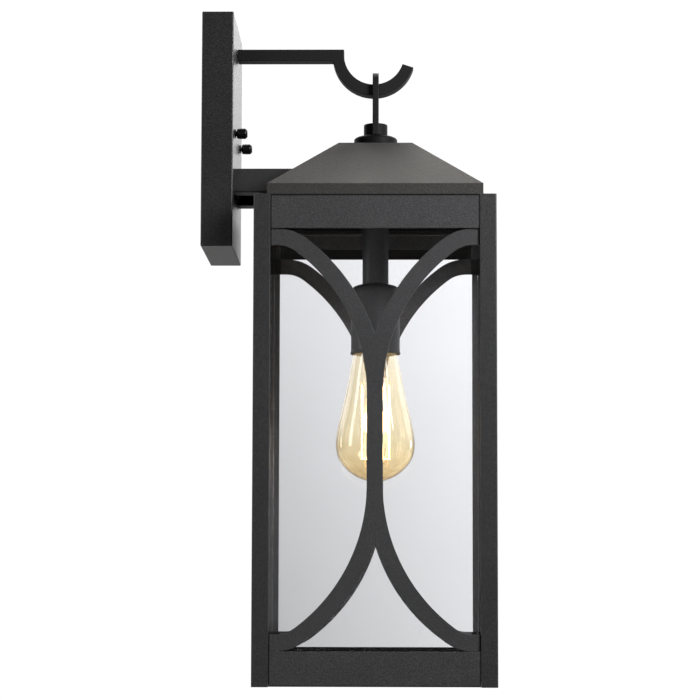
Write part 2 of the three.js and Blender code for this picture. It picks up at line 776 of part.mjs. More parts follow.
function bulbGlass() {
  const wall = 0.8;
  const outline = BULB_OUTLINE.map(([r, z]) => new THREE.Vector2(r, z));
  const inside = [];
  for (let i = 0; i < outline.length - 3; i += 1) {
    const before = outline[Math.max(i - 1, 0)];
    const after = outline[i + 1];
    const along = after.clone().sub(before).normalize();
    const inwards = new THREE.Vector2(along.y, -along.x);
    const point = outline[i].clone().addScaledVector(inwards, i === 0 ? 0 : wall);
    inside.push([i === 0 ? outline[0].x - wall : point.x, point.y]);
  }
  inside.push([0, outline[outline.length - 3].y + 0.4]);
  const profile = [...BULB_OUTLINE, ...inside.reverse(), BULB_OUTLINE[0]];
  return turned(profile, 0, 28);
}

// The glass mount: a flare inside the neck, a pinched stem and a thin rod down the middle.
function bulbStem() {
  return turned([
    [0, -148.6],
    [9.8, -148.6],
    [9.8, -149.6],
    [5, -153],
    [3.4, -158],
    [3.2, -166],
    [1.5, -168.5],
    [1.2, -172],
    [1.2, -247],
    [2, -248.4],
    [1.2, -249.8],
    [0, -250],
  ], 0, 16);
}

// One long filament, strung up and down round the mount.
function filamentCurve() {
  const { cage, top, bottom, strands } = FILAMENT;
  const points = [];
  const spread = (2 * Math.PI * 330) / 360;
  for (let i = 0; i < strands; i += 1) {
    const angle = (i / (strands - 1) - 0.5) * spread + Math.PI;
    const at = (z) => new THREE.Vector3(cage * Math.cos(angle), cage * Math.sin(angle), z);
    const [from, to] = i % 2 === 0 ? [top, bottom] : [bottom, top];
    for (const share of [0, 0.25, 0.75, 1]) points.push(at(from + (to - from) * share));
  }
  return new THREE.CatmullRomCurve3(points, false, "centripetal");
}

function filament() {
  return swept(filamentCurve(), FILAMENT.wire, 77, 5);
}

// A lead from the pinch to one end of the filament.
function filamentLead(side) {
  const end = filamentCurve().getPoint(side < 0 ? 1 : 0);
  const clear = end.clone();
  clear.z = FILAMENT.top + FILAMENT.wire + GAP + 0.35;
  const out = new THREE.Vector2(end.x, end.y).normalize();
  const start = new THREE.Vector3(out.x * 4.2, side * 1.4, -165);
  const knee = new THREE.Vector3(out.x * 5.4, out.y * 3.4, -173);
  return swept(new THREE.CatmullRomCurve3([start, knee, clear]), 0.35, 8, 5);
}

// Fine wires that spread from the foot of the mount to hold the filament's lower bends.
const SUPPORT_RING = { inner: 2.4, outer: 3.4, low: -247.6, high: -246.8 };

function filamentSupport() {
  const { inner, outer, low, high } = SUPPORT_RING;
  const ring = turned(tubeProfile(inner, outer, low, high), 0, 16);
  const arms = [];
  const armCount = 4;
  for (let i = 0; i < armCount; i += 1) {
    const arm = block([2.8, -0.35, low + 0.05], [FILAMENT.cage - 1.2, 0.35, high - 0.05]);
    arms.push(arm.rotateZ((i + 0.5) * ((2 * Math.PI) / armCount)));
  }
  return joined(ring, ...arms);
}

place(body, "bulb_centre_contact", centreContact(), MATERIALS.nickel);
place(body, "bulb_insulator", capInsulator(), MATERIALS.blackGlass);
place(body, "bulb_screw_cap", screwCap(), MATERIALS.nickel);
place(body, "bulb_glass", bulbGlass(), MATERIALS.amberGlass);
place(body, "bulb_stem", bulbStem(), MATERIALS.clearGlass);
place(body, "filament", filament(), MATERIALS.tungsten);
place(body, "filament_support", filamentSupport(), MATERIALS.nickel);
place(body, "filament_lead_live", filamentLead(-1), MATERIALS.nickel);
place(body, "filament_lead_neutral", filamentLead(1), MATERIALS.nickel);

// ---- wiring: from the plate's hollow through the lower arm, roof and stem to the lampholder
function fixtureWire(side) {
  const y = side * WIRE.apart;
  const points = [
    [8, side * 14, -52],
    [9, side * 9, -44],
    [14, side * 3, -38.5],
    [20, y, ARM_MIDDLE],
    [34, y, ARM_MIDDLE],
    [48, y, -36],
    [58, y, -35.6],
    [66, y, -36],
    [80, y, -34],
    [100, y, -28],
    [113, y, -25.6],
    [121, y, -26],
    [127, y, -29.5],
    [129.8, y, -37],
    [AXIS_X, y, -48],
    [AXIS_X, y, -85],
    [AXIS_X, y, -119],
  ];
  return swept(smoothCurve(points), WIRE.radius, 44, 6);
}

// The earth wire runs from the green screw on the strap to the plate's inside, by the hook screw.
function groundWire() {
  const points = [
    [4.4, GROUND_SCREW.y + 6, 0],
    [6, GROUND_SCREW.y + 10, 4],
    [12, GROUND_SCREW.y + 10, 18],
    [17, GROUND_SCREW.y, 40],
    [20, 9, 58],
    [20.6, 6.2, HOOK_MIDDLE],
  ];
  return swept(smoothCurve(points), WIRE.radius, 20, 6);
}

place(group, "live_wire", fixtureWire(-1), MATERIALS.wireBlack);
place(group, "neutral_wire", fixtureWire(1), MATERIALS.wireWhite);
place(group, "ground_wire", groundWire(), MATERIALS.wireGreen);

export default group;
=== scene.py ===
"""Outdoor wall lantern. Sizes in the constants and mesh helpers are millimetres; the pieces are metres.

+X points away from the wall, Y runs along the wall and +Z is up. The origin is the centre of the
wall plate's back plane.
"""
import math

import bmesh
import bpy
from mathutils import Matrix, Vector


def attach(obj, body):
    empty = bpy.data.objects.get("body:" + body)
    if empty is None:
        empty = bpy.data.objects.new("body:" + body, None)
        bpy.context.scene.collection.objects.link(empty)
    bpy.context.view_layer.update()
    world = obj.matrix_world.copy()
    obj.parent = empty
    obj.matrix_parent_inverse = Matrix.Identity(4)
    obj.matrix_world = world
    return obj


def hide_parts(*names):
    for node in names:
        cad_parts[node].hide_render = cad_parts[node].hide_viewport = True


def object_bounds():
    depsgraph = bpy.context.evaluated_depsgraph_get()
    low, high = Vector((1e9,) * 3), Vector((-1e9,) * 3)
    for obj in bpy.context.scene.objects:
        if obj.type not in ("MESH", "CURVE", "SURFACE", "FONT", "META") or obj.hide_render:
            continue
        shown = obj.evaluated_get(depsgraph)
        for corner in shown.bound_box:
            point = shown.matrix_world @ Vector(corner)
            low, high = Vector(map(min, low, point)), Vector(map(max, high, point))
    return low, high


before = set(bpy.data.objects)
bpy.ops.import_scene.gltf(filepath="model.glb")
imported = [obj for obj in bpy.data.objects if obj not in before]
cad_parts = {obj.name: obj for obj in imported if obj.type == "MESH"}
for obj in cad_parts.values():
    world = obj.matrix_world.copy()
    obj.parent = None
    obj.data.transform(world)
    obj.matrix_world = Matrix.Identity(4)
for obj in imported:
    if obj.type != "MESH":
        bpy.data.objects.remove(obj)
CAD_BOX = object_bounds()
MM = 0.001

# ---------------------------------------------------------------- driving dimensions
GAP = 0.3  # clearance between touching pieces
SHEET = 1.5  # steel sheet of the plate, roof and posts
PLATE_DEPTH, PLATE_WIDTH, PLATE_HEIGHT = 23.8, 114.3, 177.8
AXIS_X = 130.2  # vertical axis of the lantern body
BODY_HALF = 89.0
BODY_TOP, BODY_BOTTOM = -54.5, -413.5
POST_LEG = 12.3

RAIL_SHEET = 1.3
RAIL_FACE = BODY_HALF - 0.3
RAIL_HALF = BODY_HALF - POST_LEG - 0.05
TOP_RAIL_TOP, TOP_RAIL_BOTTOM = -56.0, -80.1
BOTTOM_RAIL_TOP, BOTTOM_RAIL_BOTTOM = -387.9, -413.2
FLANGE_REACH = 76.8

FRET_SHEET = 2.0
FRET_BAND = 12.2
FRET_BAR_HALF = 5.9
FRET_ARC = 128.2
FRET_CORNER = 23.0
FRET_END = 84.0
FRET_STRAIGHT = 34.0
FRET_FACE = RAIL_FACE - RAIL_SHEET - GAP

GLASS_FACE = FRET_FACE - FRET_SHEET - GAP
GLASS_SHEET, GLASS_HALF, GLASS_TOP, GLASS_BOTTOM = 2.5, 81.0, -62.0, -411.0
RETAINER_HALF, RETAINER_DROP = 60.0, 12.0

EAVE_HALF, EAVE = 79.7, -45.3
CROWN_HALF, CROWN = 27.8, -5.8
RIM = -57.0
ROOF_RUN, ROOF_RISE = EAVE_HALF - CROWN_HALF, CROWN - EAVE

ARM_HALF, ARM_TOP, ARM_BOTTOM, ARM_LIP = 42.0, -27.9, -45.9, 17.5
ARM_MIDDLE = (ARM_TOP + ARM_BOTTOM) / 2
WIRE_HOLE = 5.5
PLATE_FRONT = PLATE_DEPTH + GAP  # where the pieces outside the plate begin
PLATE_INSIDE = PLATE_DEPTH - SHEET - GAP  # where the pieces behind its front sheet end

HOOK_TOP, HOOK_BOTTOM, HOOK_HALF = 70.6, 61.8, 7.0
HOOK_X, HOOK_Z, HOOK_INNER, HOOK_OUTER = 128.9, 66.4, 23.0, 31.8
HOOK_TIP_DROP = 18.0  # degrees below level
HOOK_MIDDLE = (HOOK_TOP + HOOK_BOTTOM) / 2
SCREW_RADIUS, SCREW_HEAD, SCREW_HEAD_HEIGHT, SCREW_HOLE = 2.0, 4.0, 2.4, 2.4
SCREW_END = PLATE_FRONT + 10

STUD_RADIUS, STUD_SPREAD, STUD_END = 2.1, 33.5, 30.9
WASHER_RADIUS, WASHER_SHEET = 3.4, 0.9
NUT_RADIUS, NUT_START, NUT_LENGTH, NUT_BORE, NUT_DEPTH = 4.0, 25.5, 8.0, 2.45, 6.2
NUT_PITCH = 0.794

LOOP_HALF, LOOP_INNER, LOOP_OUTER, LOOP_CROWN, LOOP_FOOT = 2.35, 9.45, 11.4, 53.2, 4.0
BOSS_RADIUS, BOSS_BOTTOM, BOSS_TOP = 9.1, 3.9, 13.0
COVER_RADIUS, COVER_BOTTOM, COVER_EDGE, COVER_DOME = 16.6, -5.5, 0.6, 3.6
ROD_RADIUS, ROD_BORE, ROD_HOLE, ROD_PITCH = 4.85, 3.3, 5.15, 1.0
TOP_ROD, BOTTOM_ROD = (-16.0, 8.5), (-119.5, -101.0)  # from and to, in height

STEM_RADIUS, STEM_BORE, STEM_TOP, STEM_BOTTOM, STEM_PLUG = 9.95, 8.2, -7.6, -111.2, 11.0
STEM_HOLE_RADIUS, STEM_HOLE_Z = 4.0, -25.5
CUP_RADIUS, CUP_SHEET, CUP_TOP, CUP_LIP = 18.6, 0.9, -111.5, -164.7
HOLDER_RADIUS, HOLDER_BORE = 16.0, 14.4
HOLDER_TOP, HOLDER_FLOOR, HOLDER_MOUTH = -113.3, -120.0, -150.5
SHELL_INNER, SHELL_OUTER, SHELL_TOP, SHELL_BOTTOM = 13.4, 14.0, -122.3, -148.0

BULB_PITCH = 3.63
CAP_CROWN, CAP_BOTTOM, CAP_RADIUS, CAP_SKIRT = -126.4, -148.2, 13.05, 13.1
BULB_OUTLINE = [
    (11.6, -147.0), (11.6, -148.6), (13.4, -151.0), (14.6, -155.0), (16.4, -163.0), (19.0, -176.0),
    (22.3, -193.0), (25.7, -208.0), (28.6, -221.0), (29.8, -230.0), (29.7, -237.0), (28.2, -243.5),
    (24.8, -249.0), (20.0, -254.0), (13.8, -258.2), (7.0, -260.8), (3.0, -262.2), (1.6, -264.0),
    (0.0, -265.0),
]
BULB_WALL = 0.7
FILAMENT_TOP, FILAMENT_BOTTOM, FILAMENT_CAGE = -189.0, -244.0, 11.0
FILAMENT_MIDDLE = (FILAMENT_TOP + FILAMENT_BOTTOM) / 2
FILAMENT_SPREAD = 330.0  # degrees of the cage that the strands go round
FILAMENT_STRANDS = 8
FILAMENT_WIRE, LEAD_RADIUS, SUPPORT_RADIUS = 0.42, 0.3, 0.22
SUPPORT_RING = (-247.6, -246.8)

# ---------------------------------------------------------------- outlines
def arc(x, y, radius, start, end, steps):
    """Points of an arc about (x, y), from angle start to end in degrees, both ends included."""
    turns = [math.radians(start + (end - start) * i / steps) for i in range(steps + 1)]
    return [(x + radius * math.cos(t), y + radius * math.sin(t)) for t in turns]


def rounded(points, radius, closed=True, steps=4):
    """The outline with its corners turned into arcs. radius is one number or one for each corner."""
    count = len(points)
    radii = radius if isinstance(radius, (list, tuple)) else [radius] * count
    out = []
    for i, point in enumerate(points):
        at = Vector(point)
        if radii[i] <= 0 or (not closed and i in (0, count - 1)):
            out.append(tuple(at))
            continue
        back = Vector(points[i - 1]) - at
        on = Vector(points[(i + 1) % count]) - at
        half = back.angle(on) / 2
        if half > math.radians(87):
            out.append(tuple(at))
            continue
        reach = min(radii[i] / math.tan(half), 0.48 * back.length, 0.48 * on.length)
        bend = reach * math.tan(half)
        centre = at + (back.normalized() + on.normalized()).normalized() * bend / math.sin(half)
        first = at + back.normalized() * reach - centre
        last = at + on.normalized() * reach - centre
        sweep = math.atan2(first.x * last.y - first.y * last.x, first.dot(last))
        for k in range(steps + 1):
            turn = sweep * k / steps
            x = first.x * math.cos(turn) - first.y * math.sin(turn)
            y = first.x * math.sin(turn) + first.y * math.cos(turn)
            out.append((centre.x + x, centre.y + y))
    return out


def smooth_line(points, steps):
    """A smooth line through points of any size, with steps between each two."""
    spots = [Vector(p) for p in points]
    spots = [spots[0] * 2 - spots[1], *spots, spots[-1] * 2 - spots[-2]]
    out = []
    for i in range(1, len(spots) - 2):
        a, b, c, d = spots[i - 1:i + 3]
        for k in range(steps):
            t = k / steps
            out.append(
                (2 * b + (c - a) * t + (2 * a - 5 * b + 4 * c - d) * t ** 2
                 + (3 * b - a - 3 * c + d) * t ** 3) / 2
            )
    return out + [spots[-2]]


# ---------------------------------------------------------------- solids
PLANES = {  # columns that carry an outline's two directions and its depth
    "xy": Matrix.Identity(3),
    "yz": Matrix(((0, 0, 1), (1, 0, 0), (0, 1, 0))),
    "xz": Matrix(((1, 0, 0), (0, 0, 1), (0, 1, 0))),
}


def tidy(bm):
    bmesh.ops.remove_doubles(bm, verts=bm.verts, dist=1e-5)
    bmesh.ops.recalc_face_normals(bm, faces=bm.faces)
    return bm


def prism(outline, low, high, plane="xy", rim=0.25, steps=2):
    """A flat outline given depth, with its two rims softened."""
    bm = bmesh.new()
    ends = []
    for depth in (low, high):
        corners = [bm.verts.new((x, y, depth)) for x, y in outline]
        ends.append(bm.faces.new(corners))
    for i in range(len(outline)):
        j = (i + 1) % len(outline)
        a, b = ends[0].verts, ends[1].verts
        bm.faces.new((a[i], a[j], b[j], b[i]))
    bmesh.ops.recalc_face_normals(bm, faces=bm.faces)
    if rim > 0:
        edges = list({e for face in ends for e in face.edges})
        bmesh.ops.bevel(
            bm, geom=edges, offset=rim, segments=steps, profile=0.5, affect="EDGES", clamp_overlap=True
        )
    bm.transform(PLANES[plane].to_4x4())
    return tidy(bm)


def block(low, high, soft=0.0, steps=3):
    """A box between two corners, its edges softened."""
    bm = bmesh.new()
    bmesh.ops.create_cube(bm, size=1)
    size = [b - a for a, b in zip(low, high)]
    middle = [(a + b) / 2 for a, b in zip(low, high)]
    bm.transform(Matrix.Translation(middle) @ Matrix.Diagonal((*size, 1)))
    if soft > 0:
        bmesh.ops.bevel(
            bm, geom=list(bm.edges), offset=soft, segments=steps, profile=0.5, affect="EDGES"
        )
    return tidy(bm)


def lathe(profile, segments=96, shape=None):
    """A turned solid about Z from [radius, z] points. shape may move a point, from (r, z, angle)."""
    bm = bmesh.new()
    rings = []
    for radius, z in profile:
        if radius < 1e-6:
            rings.append([bm.verts.new((0, 0, z))])
            continue
        ring = []
        for k in range(segments):
            turn = 2 * math.pi * k / segments
            r = shape(radius, z, turn) if shape else radius
            ring.append(bm.verts.new((r * math.cos(turn), r * math.sin(turn), z)))
        rings.append(ring)
    closed = len(rings[0]) > 1 and len(rings[-1]) > 1
    pairs = list(zip(rings, rings[1:])) + ([(rings[-1], rings[0])] if closed else [])
    for a, b in pairs:
        for k in range(segments):
            n = (k + 1) % segments
            if len(a) > 1 and len(b) > 1:
                bm.faces.new((a[k], a[n], b[n], b[k]))
            elif len(a) > 1:
                bm.faces.new((a[k], a[n], b[0]))
            elif len(b) > 1:
                bm.faces.new((a[0], b[n], b[k]))
    return tidy(bm)


def tube_profile(inner, outer, low, high):
    return [(inner, low), (outer, low), (outer, high), (inner, high)]


def dense(profile, step, closed=True):
    """The profile with points no further than step apart."""
    out = []
    last = len(profile) if closed else len(profile) - 1
    for i in range(last):
        a, b = Vector(profile[i]), Vector(profile[(i + 1) % len(profile)])
        parts = max(1, math.ceil((b - a).length / step))
        out += [tuple(a.lerp(b, k / parts)) for k in range(parts)]
    return out if closed else out + [profile[-1]]


def thread(pitch, depth, low, high, above, outside=True):
    """A lathe shape that cuts a helical thread between z low and high, where radius is past above."""
    def shape(radius, z, turn):
        is_thread = radius > above if outside else radius < above
        if not is_thread or z < low or z > high:
            return radius
        fade = min(1.0, (z - low) / pitch, (high - z) / pitch)
        wave = 0.5 + 0.5 * math.cos(2 * math.pi * (z / pitch - turn / (2 * math.pi)))
        drop = depth * (1 - wave) * fade
        return radius - drop if outside else radius + drop
    return shape


def rectangle(x, y, half_x, half_y):
    """The four corners of a rectangle about (x, y)."""
    return [(x + i * half_x, y + j * half_y) for i, j in ((-1, -1), (1, -1), (1, 1), (-1, 1))]


def along_x(bm, y=0.0, z=0.0):
    """Turns a solid made about Z so that it lies about the line along +X through (y, z)."""
    bm.transform(Matrix.Translation((0, y, z)) @ Matrix.Rotation(math.pi / 2, 4, "Y"))
    return tidy(bm)


def wire(points, radius, sides):
    """A round wire along 3-D points, with rounded ends."""
    spots = [Vector(p) for p in points]
    bm = bmesh.new()
    side = (spots[1] - spots[0]).normalized().orthogonal().normalized()
    turns = [2 * math.pi * k / sides for k in range(sides)]
    rings = []
    for i, spot in enumerate(spots):
        before, after = spots[max(i - 1, 0)], spots[min(i + 1, len(spots) - 1)]
        along = (after - before).normalized()
        side = (side - along * side.dot(along)).normalized()
        other = along.cross(side)
        shrunk = [(0.0, 0.6), (0.3, 1.0)]  # the first two rings, as (shift, size) in radii
        if i == len(spots) - 1:
            shrunk = [(-0.3, 1.0), (0.0, 0.6)]
        elif i > 0:
            shrunk = [(0.0, 1.0)]
        for shift, share in shrunk:
            at, size = spot + along * radius * shift, radius * share
            rings.append([
                bm.verts.new(at + side * (size * math.cos(t)) + other * (size * math.sin(t)))
                for t in turns
            ])
    for a, b in zip(rings, rings[1:]):
        for k in range(sides):
            n = (k + 1) % sides
            bm.faces.new((a[k], a[n], b[n], b[k]))
    bm.faces.new(rings[0])
    bm.faces.new(rings[-1])
    bmesh.ops.recalc_face_normals(bm, faces=bm.faces)
    return bm


def merged(*parts):
    """Several separate solids as one mesh."""
    whole = bmesh.new()
    for part in parts:
        mesh = bpy.data.meshes.new("part")
        part.to_mesh(mesh)
        part.free()
        whole.from_mesh(mesh)
        bpy.data.meshes.remove(mesh)
    return whole


def in_scene(name, data):
    holder = bpy.data.objects.new(name, data)
    bpy.context.scene.collection.objects.link(holder)
    return holder


def placed(name, bm):
    """The solid as an object in the scene."""
    mesh = bpy.data.meshes.new(name)
    bm.to_mesh(mesh)
    bm.free()
    return in_scene(name, mesh)


def carved(solid, *tools):
    """The solid with the tools cut away."""
    target = placed("solid", solid)
    cutters = [placed("cutter", tool) for tool in tools]
    for cutter in cutters:
        modifier = target.modifiers.new("cut", "BOOLEAN")
        modifier.operation = "DIFFERENCE"
        modifier.solver = "EXACT"
        modifier.object = cutter
    bpy.context.view_layer.update()
    result = bmesh.new()
    result.from_object(target, bpy.context.evaluated_depsgraph_get())
    for holder in (target, *cutters):
        mesh = holder.data
        bpy.data.objects.remove(holder)
        bpy.data.meshes.remove(mesh)
    return tidy(result)


def drilled(solid, *holes):
    """The solid with round holes along X, each (radius, y, z, from x, to x)."""
    tools = []
    for radius, y, z, low, high in holes:
        profile = [(0, low), (radius, low), (radius, high), (0, high)]
        tools.append(along_x(lathe(profile, 48), y, z))
    return carved(solid, *tools)


def softened(node, width, angle=25):
    """A CAD node's own shape in millimetres, with its edges softened."""
    bm = bmesh.new()
    bm.from_mesh(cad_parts[node].data)
    bm.transform(Matrix.Diagonal((1 / MM, 1 / MM, 1 / MM, 1)))
    bmesh.ops.remove_doubles(bm, verts=bm.verts, dist=1e-3)
    bmesh.ops.dissolve_limit(bm, angle_limit=math.radians(1), verts=bm.verts, edges=bm.edges)
    bmesh.ops.recalc_face_normals(bm, faces=bm.faces)
    sharp = [e for e in bm.edges if e.is_manifold and e.calc_face_angle() > math.radians(angle)]
    bmesh.ops.bevel(
        bm, geom=sharp, offset=width, segments=2, profile=0.5, affect="EDGES", clamp_overlap=True
    )
    return tidy(bm)


# ---------------------------------------------------------------- pieces
SHARP_ANGLE = 45.0  # degrees; flatter edges are shaded smooth


def add(name, bm, material, node, body="fixture", centre=True, turn=0.0):
    """Makes the piece, in place of its CAD node. centre puts a mesh made about Z on the body's axis."""
    shift = Matrix.Translation((AXIS_X if centre else 0, 0, 0))
    bm.transform(Matrix.Scale(MM, 4) @ shift @ Matrix.Rotation(math.radians(turn), 4, "Z"))
    piece = placed(name, bm)
    piece.data.materials.append(material)
    piece.data.shade_smooth()
    piece.data.set_sharp_from_angle(angle=math.radians(SHARP_ANGLE))
    weighted = piece.modifiers.new("weighted", "WEIGHTED_NORMAL")
    weighted.keep_sharp = True
    weighted.weight = 100
    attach(piece, body)
    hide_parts(node)
    return piece


# ---------------------------------------------------------------- materials
PANE_TINT = (0.895, 0.898, 0.912)
AMBER_TINTS = [  # from the bulb's tip up to its neck
    (0.0, (0.88, 0.73, 0.48)), (0.12, (0.945, 0.84, 0.63)), (0.3, (0.978, 0.93, 0.77)),
    (1.0, (0.988, 0.97, 0.89)),
]
# Painted light: the colour and strength with which the bulb's glass itself glows.
PAINTED_BULB_GLOW, PAINTED_BULB_GLOW_STRENGTH = (1.0, 0.72, 0.34), 0.065
FILAMENT_STRENGTH = 12.0


class Nodes:
    """A node tree, with short ways to add nodes to it."""

    def __init__(self, tree):
        self.tree = tree

    def node(self, kind, inputs=None, **settings):
        made = self.tree.nodes.new(kind)
        for key, value in settings.items():
            setattr(made, key, value)
        for key, value in (inputs or {}).items():
            if isinstance(value, bpy.types.NodeSocket):
                self.tree.links.new(value, made.inputs[key])
            else:
                made.inputs[key].default_value = value
        return made

    def span(self, value, low, high, to_low, to_high, **settings):
        """The value taken from one range to another."""
        names = ("From Min", "From Max", "To Min", "To Max")
        inputs = {"Value": value, **dict(zip(names, (low, high, to_low, to_high)))}
        return self.node("ShaderNodeMapRange", inputs, **settings).outputs["Result"]

    def math(self, operation, *values):
        return self.node("ShaderNodeMath", dict(enumerate(values)), operation=operation).outputs[0]

    def split(self, vector):
        return self.node("ShaderNodeSeparateXYZ", {"Vector": vector}).outputs


class Finish(Nodes):
    """A node material with its Principled surface and the object's own coordinates."""

    def __init__(self, name, **constants):
        self.material = bpy.data.materials.new(name)
        self.material.use_nodes = True
        super().__init__(self.material.node_tree)
        self.surface = self.tree.nodes["Principled BSDF"]
        self.output = self.tree.nodes["Material Output"]
        self.where = self.node("ShaderNodeTexCoord").outputs["Object"]
        for socket, value in constants.items():
            self.surface.inputs[socket.replace("_", " ")].default_value = value

    def link(self, source, socket):
        self.tree.links.new(source, self.surface.inputs[socket])

    def made_of(self, colour, roughness, normal=None):
        self.link(colour, "Base Color")
        self.link(roughness, "Roughness")
        if normal:
            self.link(normal, "Normal")
        return self.material

    def noise(self, size, detail=2.0, rough=0.5, stretch=None):
        """Noise with grains of that size in millimetres."""
        where = self.where
        if stretch:
            where = self.node("ShaderNodeMapping", {"Vector": where, "Scale": stretch}).outputs[0]
        inputs = {"Vector": where, "Scale": 1 / (size * MM), "Detail": detail, "Roughness": rough}
        return self.node("ShaderNodeTexNoise", inputs).outputs["Fac"]

    def cells(self, size):
        """Soft round cells of that size in millimetres."""
        inputs = {"Vector": self.where, "Scale": 1 / (size * MM)}
        return self.node("ShaderNodeTexVoronoi", inputs, feature="SMOOTH_F1").outputs["Distance"]

    def ramp(self, factor, stops):
        """Colours at places along a factor: [(place, (r, g, b)), ...]."""
        made = self.node("ShaderNodeValToRGB", {"Fac": factor})
        elements = made.color_ramp.elements
        while len(elements) < len(stops):
            elements.new(0.5)
        for element, (place, colour) in zip(elements, stops):
            element.position = place
            element.color = (*colour, 1)
        return made.outputs["Color"]

    def tinted(self, colour, factor):
        """The colour times a grey factor."""
        inputs = {"Vector": colour, "Scale": factor}
        return self.node("ShaderNodeVectorMath", inputs, operation="SCALE").outputs[0]

    def bump(self, height, depth, onto=None):
        """Relief of depth millimetres from a height of 0 to 1."""
        inputs = {"Height": height, "Distance": depth * MM, "Strength": 1.0}
        if onto:
            inputs["Normal"] = onto
        return self.node("ShaderNodeBump", inputs).outputs["Normal"]


SAND_GRAIN = 0.75


def sand_coat(name, tone, rough, relief, painted_shade=None):
    """Fine sand-textured black powder coat. The optional mask function, given the finish, gives how much
    painted shade darkens it, 0 to 1.
    """
    f = Finish(name, Specular_IOR_Level=0.5)
    fine = f.noise(SAND_GRAIN, 3.0, 0.62)
    pits = f.cells(SAND_GRAIN * 1.9)
    cloud = f.noise(38, 2.0)
    dark, light = [tuple(c * k for c in tone) for k in (0.5, 1.75)]
    colour = f.ramp(fine, [(0.34, dark), (0.5, tone), (0.66, light)])
    shade = f.span(cloud, 0.3, 0.7, 0.93, 1.08)
    gloss = f.span(fine, 0.3, 0.7, rough - 0.07, rough + 0.09)
    # Painted shade: where the mask is 1, the coat darkens to 0.04 of its tone and turns rougher.
    if painted_shade:
        depth = painted_shade(f)
        shade = f.math("MULTIPLY", shade, f.span(depth, 0.0, 1.0, 1.0, 0.04))
        gloss = f.math("MAXIMUM", gloss, f.span(depth, 0.0, 1.0, 0.0, 0.95))
    height = f.math("MULTIPLY_ADD", fine, 0.7, f.span(pits, 0.0, 0.8, 0.0, 0.35))
    return f.made_of(f.tinted(colour, shade), gloss, f.bump(height, relief))


def sideways(f):
    """How far a point is from the middle of its side of the body, and from the body's axis, in mm."""
    place = f.split(f.where)
    x = f.math("ABSOLUTE", f.math("MULTIPLY_ADD", place["X"], 1 / MM, -AXIS_X))
    y = f.math("ABSOLUTE", f.math("MULTIPLY", place["Y"], 1 / MM))
    return f.math("MINIMUM", x, y), f.math("MAXIMUM", x, y)


def painted_shade_at_posts(f):
    """Painted shade next to the posts' edges, on a piece that lies across the body's side."""
    across, _ = sideways(f)
    return f.span(across, RAIL_HALF - 1.1, RAIL_HALF - 0.7, 0.0, 1.0)


def painted_shade_on_rails(f):
    """Painted shade next to the posts' edges and on everything behind the rail's face."""
    _, outward = sideways(f)
    return f.math("MAXIMUM", painted_shade_at_posts(f), f.span(outward, RAIL_FACE - 1.0, RAIL_FACE - 0.6, 1.0, 0.0))


def painted_shade_under_rim(f):
    """Painted shade along the roof's lower edge, where it meets the rails."""
    return f.span(f.split(f.where)["Z"], (RIM + 3.6) * MM, (RIM + 4.0) * MM, 1.0, 0.0)


def satin_coat(name, tone, rough, relief=0.012, specular=0.36):
    """Smooth satin black paint with a faint orange peel."""
    f = Finish(name, Specular_IOR_Level=specular)
    peel = f.noise(1.6, 2.0, 0.5)
    dust = f.noise(0.35, 2.0, 0.6)
    dark, light = [(tone * k,) * 3 for k in (0.8, 1.25)]
    return f.made_of(
        f.ramp(dust, [(0.35, dark), (0.65, light)]),
        f.span(dust, 0.3, 0.7, rough - 0.05, rough + 0.07),
        f.bump(peel, relief, f.bump(dust, relief * 0.4)),
    )


def plated_steel():
    """Zinc plate: a cold grey with faint bluish and straw clouds and fine drawing lines."""
    f = Finish("zinc_plate", Metallic=1.0, Anisotropic=0.3)
    lines = f.noise(0.5, 2.0, 0.6, (0.12, 1.0, 1.0))
    cloud = f.noise(9, 3.0)
    tones = [(0.36, (0.50, 0.52, 0.56)), (0.5, (0.60, 0.61, 0.62)), (0.66, (0.62, 0.59, 0.50))]
    colour = f.tinted(f.ramp(cloud, tones), f.span(lines, 0.3, 0.7, 0.9, 1.08))
    return f.made_of(colour, f.span(lines, 0.3, 0.7, 0.26, 0.42), f.bump(lines, 0.008))


def brushed_metal(name, tone, dull, rough):
    """A pressed sheet metal with fine drawing lines and duller patches."""
    f = Finish(name, Metallic=1.0)
    lines = f.noise(0.4, 2.0, 0.6, (1.0, 1.0, 6.0))
    patches = f.noise(5, 4.0, 0.6)
    colour = f.ramp(patches, [(0.42, tone), (0.7, dull)])
    roughness = f.math("ADD", f.span(patches, 0.3, 0.7, rough - 0.05, rough + 0.12),
                       f.span(lines, 0.3, 0.7, -0.03, 0.03))
    return f.made_of(colour, roughness, f.bump(lines, 0.006))


def glazed_porcelain():
    """White glazed porcelain with dark specks and a soft unevenness."""
    f = Finish("porcelain", Coat_Weight=0.6, Coat_Roughness=0.08, Specular_IOR_Level=0.5)
    speck = f.noise(0.7, 4.0, 0.7)
    cloud = f.noise(12, 2.0)
    colour = f.ramp(speck, [(0.25, (0.62, 0.60, 0.56)), (0.36, (0.80, 0.79, 0.76))])
    colour = f.tinted(colour, f.span(cloud, 0.3, 0.7, 0.95, 1.02))
    return f.made_of(colour, f.span(cloud, 0.3, 0.7, 0.22, 0.34), f.bump(f.noise(2.5), 0.02))


def pane_glass():
    """Clear flat glass, faintly smoked, its tint and polish slightly uneven."""
    f = Finish("pane_glass", IOR=1.5, Transmission_Weight=1.0, Specular_IOR_Level=0.5)
    tints = [(0.3, PANE_TINT), (0.7, tuple(c * 0.988 for c in PANE_TINT))]
    return f.made_of(f.ramp(f.noise(60, 1.0), tints), f.span(f.noise(25), 0.3, 0.7, 0.0, 0.004))


